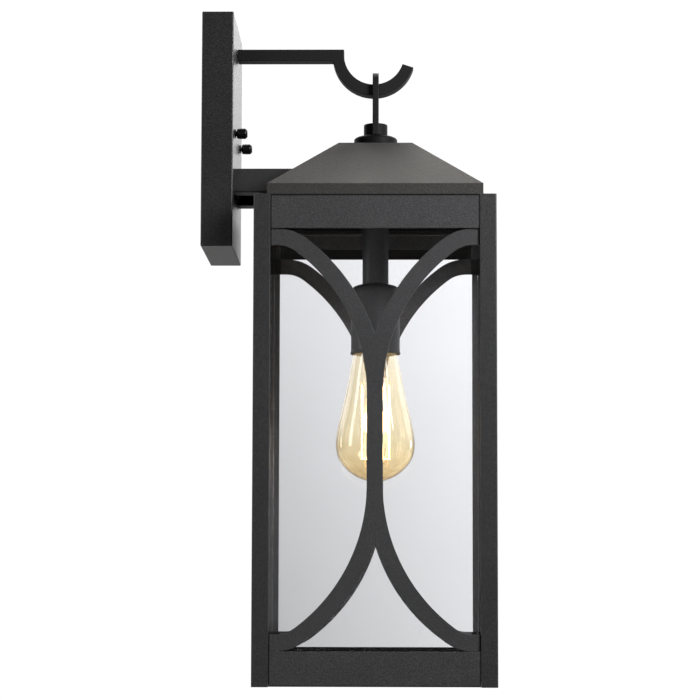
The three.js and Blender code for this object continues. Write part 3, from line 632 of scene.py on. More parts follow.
def amber_glass():
    """The bulb's tinted glass: the tint deepens towards the bottom and is a little uneven. It also glows
    faintly: painted light for the filament's light in the glass.
    """
    f = Finish("amber_glass", IOR=1.45, Transmission_Weight=1.0, Specular_IOR_Level=0.5,
               Emission_Color=(*PAINTED_BULB_GLOW, 1), Emission_Strength=PAINTED_BULB_GLOW_STRENGTH)
    uneven = f.noise(7, 3.0, 0.6, (1.0, 1.0, 0.2))
    up = f.span(f.split(f.where)["Z"], BULB_OUTLINE[-1][1] * MM, BULB_OUTLINE[0][1] * MM, 0.0, 1.0)
    colour = f.tinted(f.ramp(up, AMBER_TINTS), f.span(uneven, 0.35, 0.68, 1.0, 0.94))
    return f.made_of(colour, f.span(uneven, 0.3, 0.7, 0.0, 0.015), f.bump(f.noise(9), 0.03))


def clear_glass():
    """The bulb's glass mount, slightly wavy."""
    f = Finish("mount_glass", IOR=1.5, Transmission_Weight=1.0)
    colour = f.ramp(f.noise(3), [(0.3, (0.97, 0.98, 0.98)), (0.7, (0.93, 0.95, 0.95))])
    return f.made_of(colour, f.span(f.noise(2), 0.3, 0.7, 0.0, 0.03), f.bump(f.noise(2.2), 0.03))


def black_glass():
    """The cap's insulator: fused glass with a bluish cloud in it."""
    f = Finish("insulator_glass", Coat_Weight=0.4, Coat_Roughness=0.05)
    colour = f.ramp(f.noise(1.5, 3.0), [(0.35, (0.012, 0.012, 0.02)), (0.7, (0.03, 0.028, 0.05))])
    return f.made_of(colour, f.span(f.noise(2, 3.0), 0.3, 0.7, 0.08, 0.2), f.bump(f.noise(1.8), 0.03))


def glowing_wire():
    """The lit filament: hotter in the middle of each strand than at its bends."""
    f = Finish("lit_filament", Metallic=0.6, Roughness=0.5, Emission_Strength=FILAMENT_STRENGTH)
    away = f.math("ABSOLUTE", f.math("SUBTRACT", f.split(f.where)["Z"], FILAMENT_MIDDLE * MM))
    reach = (FILAMENT_TOP - FILAMENT_BOTTOM) / 2 * MM
    colour = f.ramp(f.span(away, reach * 0.7, reach * 1.02, 0.0, 1.0),
                    [(0.0, (1.0, 0.80, 0.46)), (1.0, (1.0, 0.52, 0.16))])
    for socket, source in (("Base Color", colour), ("Emission Color", colour),
                           ("Normal", f.bump(f.noise(0.25, 1.0), 0.02))):
        f.link(source, socket)
    return f.material


def moulded(name, dark, light, rough, relief):
    """Moulded rubber or plastic with a fine, slightly dusty grain."""
    f = Finish(name, Specular_IOR_Level=0.45)
    fine = f.noise(0.8, 3.0, 0.6)
    colour = f.ramp(fine, [(0.32, dark), (0.7, light)])
    return f.made_of(colour, f.span(fine, 0.3, 0.7, rough - 0.08, rough + 0.08), f.bump(fine, relief))


COAT = sand_coat("sand_coat", (0.026, 0.026, 0.0268), 0.5, 0.17)
# The rails' coat carries painted shade at the posts and on everything behind the rails' face.
RAIL_COAT_WITH_PAINTED_SHADE = sand_coat("sand_coat_rails_painted_shade", (0.045, 0.045, 0.0465), 0.5, 0.2, painted_shade_on_rails)
# The fretwork's coat carries painted shade where it meets the posts.
FRET_COAT_WITH_PAINTED_SHADE = sand_coat("sand_coat_fretwork_painted_shade", (0.045, 0.045, 0.0465), 0.5, 0.2, painted_shade_at_posts)
PLATE_COAT = sand_coat("sand_coat_plate", (0.026, 0.026, 0.0267), 0.34, 0.13)
# Painted light: the roof's copy of the coat is lighter than the frame's, for how light falls on the roof;
# under its rim it carries painted shade.
ROOF_COAT_WITH_PAINTED_LIGHT_AND_SHADE = sand_coat("sand_coat_roof_painted_light_and_shade", (0.034, 0.0316, 0.0294), 0.5, 0.3, painted_shade_under_rim)
HOOK_COAT = satin_coat("satin_black", 0.005, 0.58)
CROWN_COAT = satin_coat("satin_black_turned", 0.003, 0.6, specular=0.2)
NUT_COAT = satin_coat("gloss_black", 0.006, 0.22, 0.006)
ZINC = plated_steel()
BRASS = brushed_metal("brass", (0.78, 0.55, 0.24), (0.52, 0.34, 0.15), 0.3)
NICKEL = brushed_metal("nickel", (0.66, 0.62, 0.55), (0.50, 0.46, 0.40), 0.26)
LEAD_WIRE = brushed_metal("lead_wire", (0.58, 0.48, 0.36), (0.40, 0.30, 0.20), 0.35)
GREEN_SCREW = brushed_metal("green_screw", (0.05, 0.34, 0.12), (0.04, 0.24, 0.09), 0.34)
PORCELAIN = glazed_porcelain()
PANE = pane_glass()
AMBER = amber_glass()
MOUNT_GLASS = clear_glass()
INSULATOR = black_glass()
LIT = glowing_wire()
RUBBER = moulded("rubber", (0.012, 0.012, 0.012), (0.03, 0.03, 0.03), 0.75, 0.03)
BLACK_PVC = moulded("black_insulation", (0.010, 0.010, 0.011), (0.022, 0.022, 0.024), 0.42, 0.01)
WHITE_PVC = moulded("white_insulation", (0.62, 0.61, 0.56), (0.74, 0.73, 0.69), 0.42, 0.01)
GREEN_PVC = moulded("green_insulation", (0.02, 0.17, 0.05), (0.03, 0.24, 0.07), 0.42, 0.01)

# ---------------------------------------------------------------- wall plate and its fixings
def wall_plate():
    half_width, half_height = PLATE_WIDTH / 2, PLATE_HEIGHT / 2
    outside = block((0, -half_width, -half_height), (PLATE_DEPTH, half_width, half_height), 0.9)
    inside = block(
        (-10, SHEET - half_width, SHEET - half_height),
        (PLATE_DEPTH - SHEET, half_width - SHEET, half_height - SHEET),
        0.5,
    )
    low, high = PLATE_DEPTH - 6, PLATE_DEPTH + 2
    return drilled(
        carved(outside, inside),
        (STUD_RADIUS + GAP, -STUD_SPREAD, 0, low, high),
        (STUD_RADIUS + GAP, STUD_SPREAD, 0, low, high),
        (SCREW_HOLE, 0, HOOK_MIDDLE, low, high),
        (WIRE_HOLE, 0, ARM_MIDDLE, low, high),
    )


STRAP_HALF_LENGTH, STRAP_HALF_HEIGHT, STRAP_SHEET = 54.0, 12.5, 2.0
STRAP_SLOT_Y, STRAP_SLOT_LENGTH, STRAP_SLOT_HEIGHT = 44.5, 4.5, 2.4
GROUND_Y, GROUND_RADIUS, GROUND_HEAD, GROUND_HEAD_HEIGHT, GROUND_HOLE = 17.0, 2.0, 4.2, 2.2, 2.3


def mounting_strap():
    outline = rounded(rectangle(0, 0, STRAP_HALF_LENGTH, STRAP_HALF_HEIGHT), 3.0, steps=8)
    bar = prism(outline, 0, STRAP_SHEET, "yz")
    slots = []
    for y in (-STRAP_SLOT_Y, STRAP_SLOT_Y):
        corners = rectangle(y, 0, STRAP_SLOT_LENGTH, STRAP_SLOT_HEIGHT)
        slot = rounded(corners, STRAP_SLOT_HEIGHT * 0.98, steps=8)
        slots.append(prism(slot, -1, STRAP_SHEET + 1, "yz", 0))
    through = (0, -1, STRAP_SHEET + 2)
    return drilled(
        carved(bar, *slots),
        (STUD_RADIUS + GAP, -STUD_SPREAD, *through),
        (STUD_RADIUS + GAP, STUD_SPREAD, *through),
        (GROUND_HOLE, GROUND_Y, *through),
    )


def screw(profile, radius, past, depth, low, high, edge, segments):
    """A turned screw about Z. The thread cuts from z low to high, up to a radius of radius + past."""
    cut = thread(NUT_PITCH, depth, low, high, radius * 0.9)
    limit = radius + past

    def shape(r, z, turn):
        return cut(r, z, turn) if r < limit else r

    return lathe(dense(rounded(profile, edge, False), 0.16, False), segments, shape)


def cross_recess(reach, half_width, low, high, y, z):
    """The two bars that cut a driver's cross into a screw's head, from x low to high."""
    return [
        block((low, y - half_y, z - half_z), (high, y + half_y, z + half_z), half_width * 0.3, 1)
        for half_y, half_z in ((reach, half_width), (half_width, reach))
    ]


def ground_screw():
    under = STRAP_SHEET + 1.6
    top = under + GROUND_HEAD_HEIGHT
    profile = [(0, GAP), (GROUND_RADIUS, GAP), (GROUND_RADIUS, under), (GROUND_HEAD, under),
               (GROUND_HEAD, under + GROUND_HEAD_HEIGHT * 0.6), (GROUND_HEAD * 0.72, top), (0, top)]
    body = along_x(screw(profile, GROUND_RADIUS, 0.1, 0.35, GAP, under, 0.35, 48), GROUND_Y)
    return carved(body, *cross_recess(2.1, 0.42, top - 1.2, top + 0.1, GROUND_Y, 0))


def strap_stud(y):
    profile = [(0, GAP), (STUD_RADIUS - 0.3, GAP), (STUD_RADIUS, GAP + 0.4),
               (STUD_RADIUS, STUD_END - 0.4), (STUD_RADIUS - 0.3, STUD_END), (0, STUD_END)]
    shape = thread(NUT_PITCH, 0.34, GAP, STUD_END, STUD_RADIUS * 0.9)
    return along_x(lathe(dense(profile, 0.14, False), 32, shape), y)


def nut_washer(y):
    profile = tube_profile(NUT_BORE, WASHER_RADIUS, PLATE_FRONT, PLATE_FRONT + WASHER_SHEET)
    return along_x(lathe(rounded(profile, 0.2), 72), y)


def cap_nut(y):
    """A barrel-shaped cap nut with a fine groove behind its nose and a blind bore."""
    start, end = NUT_START, NUT_START + NUT_LENGTH
    groove = start + 1.5
    profile = [
        (NUT_BORE, start), (NUT_RADIUS - 0.7, start), (NUT_RADIUS - 0.1, start + 0.7),
        (NUT_RADIUS - 0.1, groove), (NUT_RADIUS - 0.35, groove + 0.2), (NUT_RADIUS, groove + 0.5),
        (NUT_RADIUS, end - 1.6), (NUT_RADIUS - 1.6, end), (0, end), (0, start + NUT_DEPTH),
        (NUT_BORE, start + NUT_DEPTH - 0.8),
    ]
    radii = [0.15, 0.5, 0.5, 0.15, 0.1, 0.15, 1.2, 1.6, 0, 0, 0.2]
    return along_x(lathe(rounded(profile, radii, steps=6) + [profile[0]], 96), y)


add("wall_plate_shell", wall_plate(), PLATE_COAT, "wall_plate", centre=False)
add("mounting_bar", mounting_strap(), ZINC, "mounting_strap", centre=False)
add("earth_screw", ground_screw(), GREEN_SCREW, "ground_screw", centre=False)
for side, y in (("left", -STUD_SPREAD), ("right", STUD_SPREAD)):
    add(f"threaded_stud_{side}", strap_stud(y), ZINC, f"strap_stud_{side}", centre=False)
    add(f"washer_{side}", nut_washer(y), NUT_COAT, f"nut_washer_{side}",
        f"nut_travel_{side}", centre=False)
    add(f"barrel_nut_{side}", cap_nut(y), NUT_COAT, f"cap_nut_{side}",
        f"cap_nut_{side}", centre=False)

# ---------------------------------------------------------------- hook arm
def hook_arm():
    """A flat bar whose end is bent down and up into an open hook."""
    start = PLATE_FRONT
    meets = 180 + math.degrees(math.asin((HOOK_Z - HOOK_BOTTOM) / HOOK_OUTER))
    tip = 360 - HOOK_TIP_DROP
    outline = [(start, HOOK_BOTTOM)]
    outline += arc(HOOK_X, HOOK_Z, HOOK_OUTER, meets, tip, 72)
    outline += arc(HOOK_X, HOOK_Z, HOOK_INNER, tip, 180, 72)
    outline += [(HOOK_X - HOOK_INNER, HOOK_TOP), (start, HOOK_TOP)]
    bar = prism(outline, -HOOK_HALF, HOOK_HALF, "xz", 0.45, 3)
    return drilled(bar, (SCREW_HOLE, 0, HOOK_MIDDLE, start - 1, start + 11))


def hook_arm_screw():
    face = PLATE_INSIDE - SCREW_HEAD_HEIGHT
    profile = [(0, face), (SCREW_HEAD - 1.1, face), (SCREW_HEAD, face + 0.9), (SCREW_HEAD, PLATE_INSIDE),
               (SCREW_RADIUS, PLATE_INSIDE), (SCREW_RADIUS, SCREW_END), (0, SCREW_END)]
    body = screw(profile, SCREW_RADIUS, 0.05, 0.3, PLATE_INSIDE, SCREW_END, 0.4, 40)
    body = along_x(body, 0, HOOK_MIDDLE)
    return carved(body, *cross_recess(2.0, 0.4, face - 0.1, face + 1.1, 0, HOOK_MIDDLE))


add("hook_bar", hook_arm(), HOOK_COAT, "hook_arm", centre=False)
add("hook_fixing_screw", hook_arm_screw(), ZINC, "hook_arm_screw", centre=False)

# ---------------------------------------------------------------- lower arm
def back_slope_x(z):
    """Where the roof's back slope lies at height z, along X."""
    return AXIS_X - EAVE_HALF + (z - EAVE) * ROOF_RUN / ROOF_RISE


def lower_arm():
    """A folded channel, open underneath between two return lips, mitred to the roof."""
    half, top, low, lip = ARM_HALF, ARM_TOP, ARM_BOTTOM, ARM_LIP
    outline = [(-half, low), (-half + lip, low), (-half + lip, low + SHEET), (-half + SHEET, low + SHEET),
               (-half + SHEET, top - SHEET), (half - SHEET, top - SHEET), (half - SHEET, low + SHEET),
               (half - lip, low + SHEET), (half - lip, low), (half, low), (half, top), (-half, top)]
    radii = [1.3, 0.3, 0.3, 0.4, 0.4, 0.4, 0.4, 0.3, 0.3, 1.3, 1.3, 1.3]
    channel = prism(rounded(outline, radii, steps=6), PLATE_DEPTH + 0.04, AXIS_X, "yz", 0.1)
    clearance = GAP / math.sin(math.atan2(ROOF_RISE, ROOF_RUN))
    beyond = [(back_slope_x(RIM) - clearance, RIM), (AXIS_X * 2, RIM), (AXIS_X * 2, CROWN),
              (back_slope_x(CROWN) - clearance, CROWN)]
    wide = ARM_HALF + 18
    fascia = block((AXIS_X - EAVE_HALF - GAP, -wide, RIM - 3), (AXIS_X * 2, wide, EAVE + GAP))
    return carved(channel, prism(beyond, -wide, wide, "xz", 0), fascia)


def wire_grommet():
    neck, rim, bore = WIRE_HOLE - GAP, WIRE_HOLE + 2, 3.6
    back, front = PLATE_INSIDE, PLATE_FRONT
    profile = [(bore, back - 1.5), (rim, back - 1.5), (rim, back), (neck, back), (neck, front),
               (rim, front), (rim, front + 1.5), (bore, front + 1.5)]
    radii = [0.5, 0.7, 0.3, 0.1, 0.1, 0.3, 0.7, 0.5]
    return along_x(lathe(rounded(profile, radii), 72), 0, ARM_MIDDLE)


add("arm_channel", lower_arm(), COAT, "lower_arm", centre=False)
add("grommet", wire_grommet(), RUBBER, "wire_grommet", centre=False)

# ---------------------------------------------------------------- loop, boss and cover
def hanging_loop():
    centre = LOOP_CROWN - LOOP_OUTER
    outline = [(LOOP_OUTER, LOOP_FOOT)] + arc(0, centre, LOOP_OUTER, 0, 180, 48)
    outline += [(-LOOP_OUTER, LOOP_FOOT), (-LOOP_INNER, LOOP_FOOT)]
    outline += arc(0, centre, LOOP_INNER, 180, 0, 48) + [(LOOP_INNER, LOOP_FOOT)]
    return prism(outline, -LOOP_HALF, LOOP_HALF, "yz", 0.5, 3)


def loop_boss():
    profile = [(ROD_HOLE, BOSS_BOTTOM), (BOSS_RADIUS, BOSS_BOTTOM), (BOSS_RADIUS, BOSS_TOP),
               (0, BOSS_TOP), (0, BOSS_TOP - 3), (ROD_HOLE, BOSS_TOP - 3)]
    return lathe(rounded(profile, [0.2, 0.4, 1.0, 0, 0, 0.2], steps=6) + [profile[0]], 96)


def domed_cover():
    """A disc with a straight edge that rises in a quarter round to the boss."""
    across = COVER_RADIUS - BOSS_RADIUS
    rise = COVER_DOME - COVER_EDGE
    dome = arc(0, 0, 1, 0, 90, 16)
    profile = [(ROD_HOLE, COVER_BOTTOM), (COVER_RADIUS - 0.4, COVER_BOTTOM),
               (COVER_RADIUS, COVER_BOTTOM + 0.4)]
    profile += [(BOSS_RADIUS + across * x, COVER_EDGE + rise * z) for x, z in dome]
    profile += [(ROD_HOLE, COVER_DOME)]
    return lathe(profile, 96)


def threaded_tube(low, high):
    """A threaded nipple, hollow for the wires."""
    profile = dense(rounded(tube_profile(ROD_BORE, ROD_RADIUS, low, high), 0.3), 0.16)
    return lathe(profile, 48, thread(ROD_PITCH, 0.45, low, high, ROD_RADIUS * 0.93))


add("cover_dome", domed_cover(), CROWN_COAT, "domed_cover")
add("boss_turned", loop_boss(), CROWN_COAT, "loop_boss")
add("loop_strap", hanging_loop(), HOOK_COAT, "hanging_loop")
add("nipple_upper", threaded_tube(*TOP_ROD), ZINC, "top_nipple")

# ---------------------------------------------------------------- roof, frame and glazing
add("roof_cap", softened("roof", 0.45), ROOF_COAT_WITH_PAINTED_LIGHT_AND_SHADE, "roof", centre=False)

SIDES = (("left", 0), ("front", 90), ("right", 180), ("back", -90))
POSTS = ("back_left", "front_left", "front_right", "back_right")


def corner_post():
    """A folded angle at the corner (-x, -y); the others are turned copies."""
    out, inner = BODY_HALF, BODY_HALF - POST_LEG
    outline = [(-out, -out), (-inner, -out), (-inner, SHEET - out), (SHEET - out, SHEET - out),
               (SHEET - out, -inner), (-out, -inner)]
    return prism(rounded(outline, [1.1, 0.35, 0.35, 0.5, 0.35, 0.35], steps=6), BODY_BOTTOM, BODY_TOP)


def top_rail():
    """A web with a flange folded inwards under the roof's rim."""
    seat = RIM - SHEET - GAP
    inner = RAIL_SHEET - RAIL_FACE
    outline = [(-RAIL_FACE, TOP_RAIL_BOTTOM), (inner, TOP_RAIL_BOTTOM), (inner, seat - SHEET),
               (-FLANGE_REACH, seat - SHEET), (-FLANGE_REACH, seat), (inner, seat),
               (inner, TOP_RAIL_TOP), (-RAIL_FACE, TOP_RAIL_TOP)]
    return prism(rounded(outline, [0.4, 0.3, 0.5, 0.3, 0.3, 0.5, 0.3, 0.4]), -RAIL_HALF, RAIL_HALF, "yz")


def bottom_rail():
    """A web with a floor and an upturned lip that hold the foot of the glass."""
    lip_face = GLASS_FACE - GLASS_SHEET - 1
    low, top = BOTTOM_RAIL_BOTTOM, BOTTOM_RAIL_TOP
    inner = RAIL_SHEET - RAIL_FACE
    outline = [(-RAIL_FACE, low), (RAIL_SHEET - lip_face, low), (RAIL_SHEET - lip_face, low + 7),
               (-lip_face, low + 7), (-lip_face, low + RAIL_SHEET), (inner, low + RAIL_SHEET),
               (inner, top), (-RAIL_FACE, top)]
    radii = [1.2, 1.2, 0.35, 0.35, 0.4, 0.4, 0.35, 0.35]
    return prism(rounded(outline, radii), -RAIL_HALF, RAIL_HALF, "yz")


def fret_panel():
    """The fretwork: four bands that leave the posts level and sweep into the central bar."""
    middle = (TOP_RAIL_BOTTOM + BOTTOM_RAIL_TOP) / 2
    level = TOP_RAIL_BOTTOM
    crest = FRET_ARC + FRET_BAND
    centre_u = -FRET_BAR_HALF - FRET_ARC
    corner_z = level - FRET_BAND - FRET_CORNER
    between = FRET_ARC - FRET_CORNER
    centre_z = middle + FRET_STRAIGHT
    corner_u = centre_u + math.sqrt(between ** 2 - (corner_z - centre_z) ** 2)
    blend = math.degrees(math.atan2(corner_z - centre_z, corner_u - centre_u))
    meets = math.degrees(math.acos(-centre_u / crest))

    upper = [(-FRET_END, level)]
    upper += arc(corner_u, corner_z, FRET_CORNER + FRET_BAND, 90, blend, 24)
    upper += arc(centre_u, centre_z, crest, blend, meets, 64)[1:]
    under = [(-FRET_END, level - FRET_BAND)]
    under += arc(corner_u, corner_z, FRET_CORNER, 90, blend, 20)
    under += arc(centre_u, centre_z, FRET_ARC, blend, 0, 64)[1:]

    def across(line):
        return [(-u, z) for u, z in reversed(line)]

    def down(line):
        return [(u, 2 * middle - z) for u, z in reversed(line)]

    right_side = across(under)[::-1]
    outline = upper + across(upper)[1:] + right_side + down(right_side)
    outline += down(across(upper)[1:]) + down(upper) + down(under)[::-1] + under[::-1]
    return prism(outline, -FRET_FACE, FRET_SHEET - FRET_FACE, "xz", 0.3)


def glass_pane():
    low = (-GLASS_HALF, -GLASS_FACE, GLASS_BOTTOM)
    return block(low, (GLASS_HALF, GLASS_SHEET - GLASS_FACE, GLASS_TOP), 0.25, 2)


def glass_retainer():
    """An angle strip that keeps the head of the glass in place."""
    face = GLASS_FACE - GLASS_SHEET - 0.4
    seat = RIM - 2 * (SHEET + GAP)
    inner, low = RAIL_SHEET - face, seat - RETAINER_DROP
    outline = [(-face, low), (inner, low), (inner, seat - RAIL_SHEET),
               (-FLANGE_REACH, seat - RAIL_SHEET), (-FLANGE_REACH, seat), (-face, seat)]
    radii = [0.3, 0.3, 0.4, 0.3, 0.3, 1.0]
    return prism(rounded(outline, radii), -RETAINER_HALF, RETAINER_HALF, "yz")


for i, corner in enumerate(POSTS):
    add(f"post_angle_{corner}", corner_post(), COAT, f"post_{corner}", turn=90 * i)
for side, turn in SIDES:
    add(f"rail_upper_{side}", top_rail(), RAIL_COAT_WITH_PAINTED_SHADE, f"top_rail_{side}", turn=turn)
    add(f"rail_lower_{side}", bottom_rail(), RAIL_COAT_WITH_PAINTED_SHADE, f"bottom_rail_{side}", turn=turn)
    add(f"fret_panel_{side}", fret_panel(), FRET_COAT_WITH_PAINTED_SHADE, f"fretwork_{side}", turn=turn)
    pane = add(f"pane_{side}", glass_pane(), PANE, f"glass_{side}", turn=turn)
    pane.visible_shadow = False
    add(f"retainer_strip_{side}", glass_retainer(), COAT, f"glass_retainer_{side}",
        turn=turn)

# ---------------------------------------------------------------- stem, cup and lampholder
def stem_tube():
    """A tube with a threaded plug at each end and a hole for the wires at its back."""
    top, low, plug = STEM_TOP, STEM_BOTTOM, STEM_PLUG
    profile = [(ROD_HOLE, low), (STEM_RADIUS, low), (STEM_RADIUS, top), (ROD_HOLE, top),
               (ROD_HOLE, top - plug), (STEM_BORE, top - plug - 1), (STEM_BORE, low + plug + 1),
               (ROD_HOLE, low + plug)]
    tube = lathe(rounded(profile, [0.2, 0.6, 0.6, 0.2, 0.2, 0.3, 0.3, 0.2]), 96)
    return drilled(tube, (STEM_HOLE_RADIUS, 0, STEM_HOLE_Z, -14, 0))


def socket_cup():
    """A thin spun cup with a round shoulder and a rolled lip."""
    shoulder = [(12.6, 0), (15.8, -1.0), (17.8, -2.8), (CUP_RADIUS, -6)]
    smooth = smooth_line(shoulder, 6)
    lip = [(CUP_RADIUS, CUP_LIP + 2.4), (CUP_RADIUS + 0.5, CUP_LIP + 1.4),
           (CUP_RADIUS + 0.5, CUP_LIP + 0.5), (CUP_RADIUS, CUP_LIP)]
    outer = [(ROD_HOLE, CUP_TOP)] + [(p[0], CUP_TOP + p[1]) for p in smooth] + lip
    inner = [(CUP_RADIUS - CUP_SHEET, CUP_LIP)]
    inner += [(p[0] - CUP_SHEET, CUP_TOP + p[1] - CUP_SHEET) for p in reversed(smooth)]
    inner += [(ROD_HOLE, CUP_TOP - CUP_SHEET)]
    return lathe(rounded(outer + inner, 0.3, steps=3), 96)


def lampholder():
    profile = [(ROD_HOLE, HOLDER_TOP), (HOLDER_RADIUS - 3.4, HOLDER_TOP),
               (HOLDER_RADIUS - 1, HOLDER_TOP - 2.4), (HOLDER_RADIUS, HOLDER_TOP - 6),
               (HOLDER_RADIUS, HOLDER_MOUTH), (HOLDER_BORE, HOLDER_MOUTH), (HOLDER_BORE, HOLDER_FLOOR),
               (ROD_HOLE, HOLDER_FLOOR)]
    return lathe(rounded(profile, [0.3, 0.8, 1.2, 1.2, 0.6, 0.4, 0.4, 0.4], steps=5), 96)


def screw_shell():
    """The brass shell, rolled with the lamp thread."""
    turns = thread(BULB_PITCH, 0.4, SHELL_BOTTOM, SHELL_TOP, SHELL_INNER + 0.15, outside=False)
    profile = dense(tube_profile(SHELL_INNER, SHELL_OUTER, SHELL_BOTTOM, SHELL_TOP), 0.3)
    return lathe(profile, 96, turns)


add("stem", stem_tube(), COAT, "stem_tube")
add("nipple_lower", threaded_tube(*BOTTOM_ROD), ZINC, "bottom_nipple")
add("cup", socket_cup(), COAT, "socket_cup")
add("holder_body", lampholder(), PORCELAIN, "lampholder")
add("holder_shell", screw_shell(), BRASS, "screw_shell")
add("contact_leaf", softened("contact_spring", 0.12), BRASS, "contact_spring", centre=False)

# ---------------------------------------------------------------- bulb
def centre_contact():
    profile = [(0, -123.4), (3.4, -123.4), (4.6, -122.7), (3.2, -122.2), (0, -122)]
    return lathe(rounded(profile, 0.3, False), 72)


def cap_insulator():
    profile = [(2, -127), (10.5, -127), (10.2, -125.7), (5.6, -123.8), (2, -123.7)]
    return lathe(rounded(profile, [0, 0.3, 0.5, 1.0, 0]), 96)


def screw_cap():
    """The bulb's cap: thin sheet rolled with the lamp thread, and a plain skirt."""
    crown, low = CAP_CROWN, CAP_BOTTOM
    sheet = 0.35
    outer = [(10.9, crown), (11.9, crown - 0.2), (CAP_RADIUS, crown - 1.6), (CAP_RADIUS, low + 1.6),
             (CAP_SKIRT, low + 1.2), (CAP_SKIRT, low)]
    inner = [(CAP_RADIUS - sheet, low), (CAP_RADIUS - sheet, crown - 1.9), (10.9, crown - 0.6)]
    top, bottom = crown - 1.6, low + 1.8

    def shape(radius, z, turn):
        if radius < 12.3 or z > top or z < bottom:
            return radius
        fade = min(1.0, (top - z) / BULB_PITCH * 2, (z - bottom) / BULB_PITCH * 2)
        wave = 0.5 + 0.5 * math.cos(2 * math.pi * (z / BULB_PITCH - turn / (2 * math.pi)))
        return radius - 0.9 * (1 - wave) * fade

    return lathe(dense(outer + inner, 0.3), 96, shape)


def bulb_glass():
    """The envelope: the outline, and inside it the same line one wall's thickness in."""
    steps = 5
    outline = [(max(p[0], 0.0), p[1]) for p in smooth_line(BULB_OUTLINE, steps)]
    outline[-1] = (0.0, BULB_OUTLINE[-1][1])
    stop = steps * (len(BULB_OUTLINE) - 3)
    inside = [(outline[0][0] - BULB_WALL, outline[0][1])]
    for i in range(1, stop):
        along = (Vector(outline[i + 1]) - Vector(outline[i - 1])).normalized()
        inside.append((max(outline[i][0] + along.y * BULB_WALL, 0.05), outline[i][1] - along.x * BULB_WALL))
    floor = outline[stop][1] + 0.9
    kept = [p for p in inside if p[1] > floor and p[0] > 0.6]
    lowest = (0.0, min(p[1] for p in kept))
    return lathe([lowest] + kept[::-1] + outline, 128)


def bulb_stem():
    """The glass mount: a flare in the neck, drawn out to a rod with a bead at its foot."""
    profile = [(0, -148.6), (9.8, -148.6), (9.8, -149.6), (5, -153), (3.4, -158), (3.2, -166),
               (1.5, -168.5), (1.2, -172), (1.2, -247), (2, -248.4), (1.2, -249.8), (0, -250)]
    radii = [0, 0.3, 0.4, 2.5, 2.0, 1.0, 0.8, 0.8, 0.4, 0.9, 0.4, 0]
    return lathe(rounded(profile, radii, False, 5), 64)


def strand_angle(i):
    """Where strand i stands on the cage, in radians from +X."""
    return (i / (FILAMENT_STRANDS - 1) - 0.5) * math.radians(FILAMENT_SPREAD) + math.pi


def on_cage(angle, z, radius=FILAMENT_CAGE):
    return (radius * math.cos(angle), radius * math.sin(angle), z)


def filament():
    """One long wire, strung up and down round the mount, with a tight bend at each end."""
    top, low = FILAMENT_TOP, FILAMENT_BOTTOM
    points = []
    for i in range(FILAMENT_STRANDS):
        a, b = (top, low) if i % 2 == 0 else (low, top)
        for share in (0.0, 0.04, 0.5, 0.96, 1.0):
            z = a + (b - a) * share
            lean = 0.10 * (1 if i % 2 == 0 else -1) * (share - 0.5)
            points.append(on_cage(strand_angle(i) + lean, z))
    return wire(smooth_line(points, 6), FILAMENT_WIRE, 10)


def filament_lead(side):
    angle = strand_angle(FILAMENT_STRANDS - 1 if side < 0 else 0)
    out = Vector((math.cos(angle), math.sin(angle)))
    end = (FILAMENT_CAGE * out.x, FILAMENT_CAGE * out.y, FILAMENT_TOP + 1.0)
    points = [(out.x * 4.2, side * 1.4, -165), (out.x * 5.4, out.y * 3.4, -173),
              (out.x * 8.6, out.y * 8.0, -181), end]
    return wire(smooth_line(points, 8), LEAD_RADIUS, 10)


def filament_support():
    """Fine wires that spread from the foot of the mount to hold the lower bends."""
    collar = lathe(rounded(tube_profile(1.5, 2.6, *SUPPORT_RING), 0.15), 48)
    arms = []
    for i in range(FILAMENT_STRANDS // 2):
        angle = (strand_angle(2 * i) + strand_angle(2 * i + 1)) / 2
        line = [on_cage(angle, -247.2, 2.2), on_cage(angle, -247.6, 6.0), on_cage(angle, -246.6, 9.6),
                on_cage(angle, -245.2, 10.4)]
        arms.append(wire(smooth_line(line, 6), SUPPORT_RADIUS, 8))
    return merged(collar, *arms)


add("bulb_tip_contact", centre_contact(), NICKEL, "bulb_centre_contact", "bulb_travel")
add("bulb_cap_glass", cap_insulator(), INSULATOR, "bulb_insulator", "bulb")
add("bulb_cap_shell", screw_cap(), NICKEL, "bulb_screw_cap", "bulb")
envelope = add("bulb_envelope", bulb_glass(), AMBER, "bulb_glass", "bulb")
mount = add("bulb_mount", bulb_stem(), MOUNT_GLASS, "bulb_stem", "bulb")
lit = add("filament_strands", filament(), LIT, "filament", "bulb")
for piece in (envelope, mount, lit):
    piece.visible_shadow = False
add("filament_hooks", filament_support(), LEAD_WIRE, "filament_support", "bulb")
add("lead_live", filament_lead(-1), LEAD_WIRE, "filament_lead_live", "bulb")
add("lead_neutral", filament_lead(1), LEAD_WIRE, "filament_lead_neutral", "bulb")

# ---------------------------------------------------------------- wiring
WIRE_RADIUS, WIRE_APART = 1.1, 1.4


def fixture_wire(side):
    y = side * WIRE_APART
    points = [
        (8, side * 14, -52), (9, side * 9, -44), (14, side * 3, -38.5), (20, y, ARM_MIDDLE),
        (34, y, ARM_MIDDLE), (48, y, -36), (58, y, -35.6), (66, y, -36), (80, y, -34), (100, y, -28),
        (113, y, -25.6), (121, y, -26), (127, y, -29.5), (129.8, y, -37), (AXIS_X, y, -48),
        (AXIS_X, y, -85), (AXIS_X, y, -119),
    ]
    return wire(smooth_line(points, 6), WIRE_RADIUS, 16)


def ground_wire():
    points = [(4.4, GROUND_Y + 6, 0), (6, GROUND_Y + 10, 4), (12, GROUND_Y + 10, 18), (17, GROUND_Y, 40),
              (20, 9, 58), (20.6, 6.2, HOOK_MIDDLE)]
    return wire(smooth_line(points, 8), WIRE_RADIUS, 16)


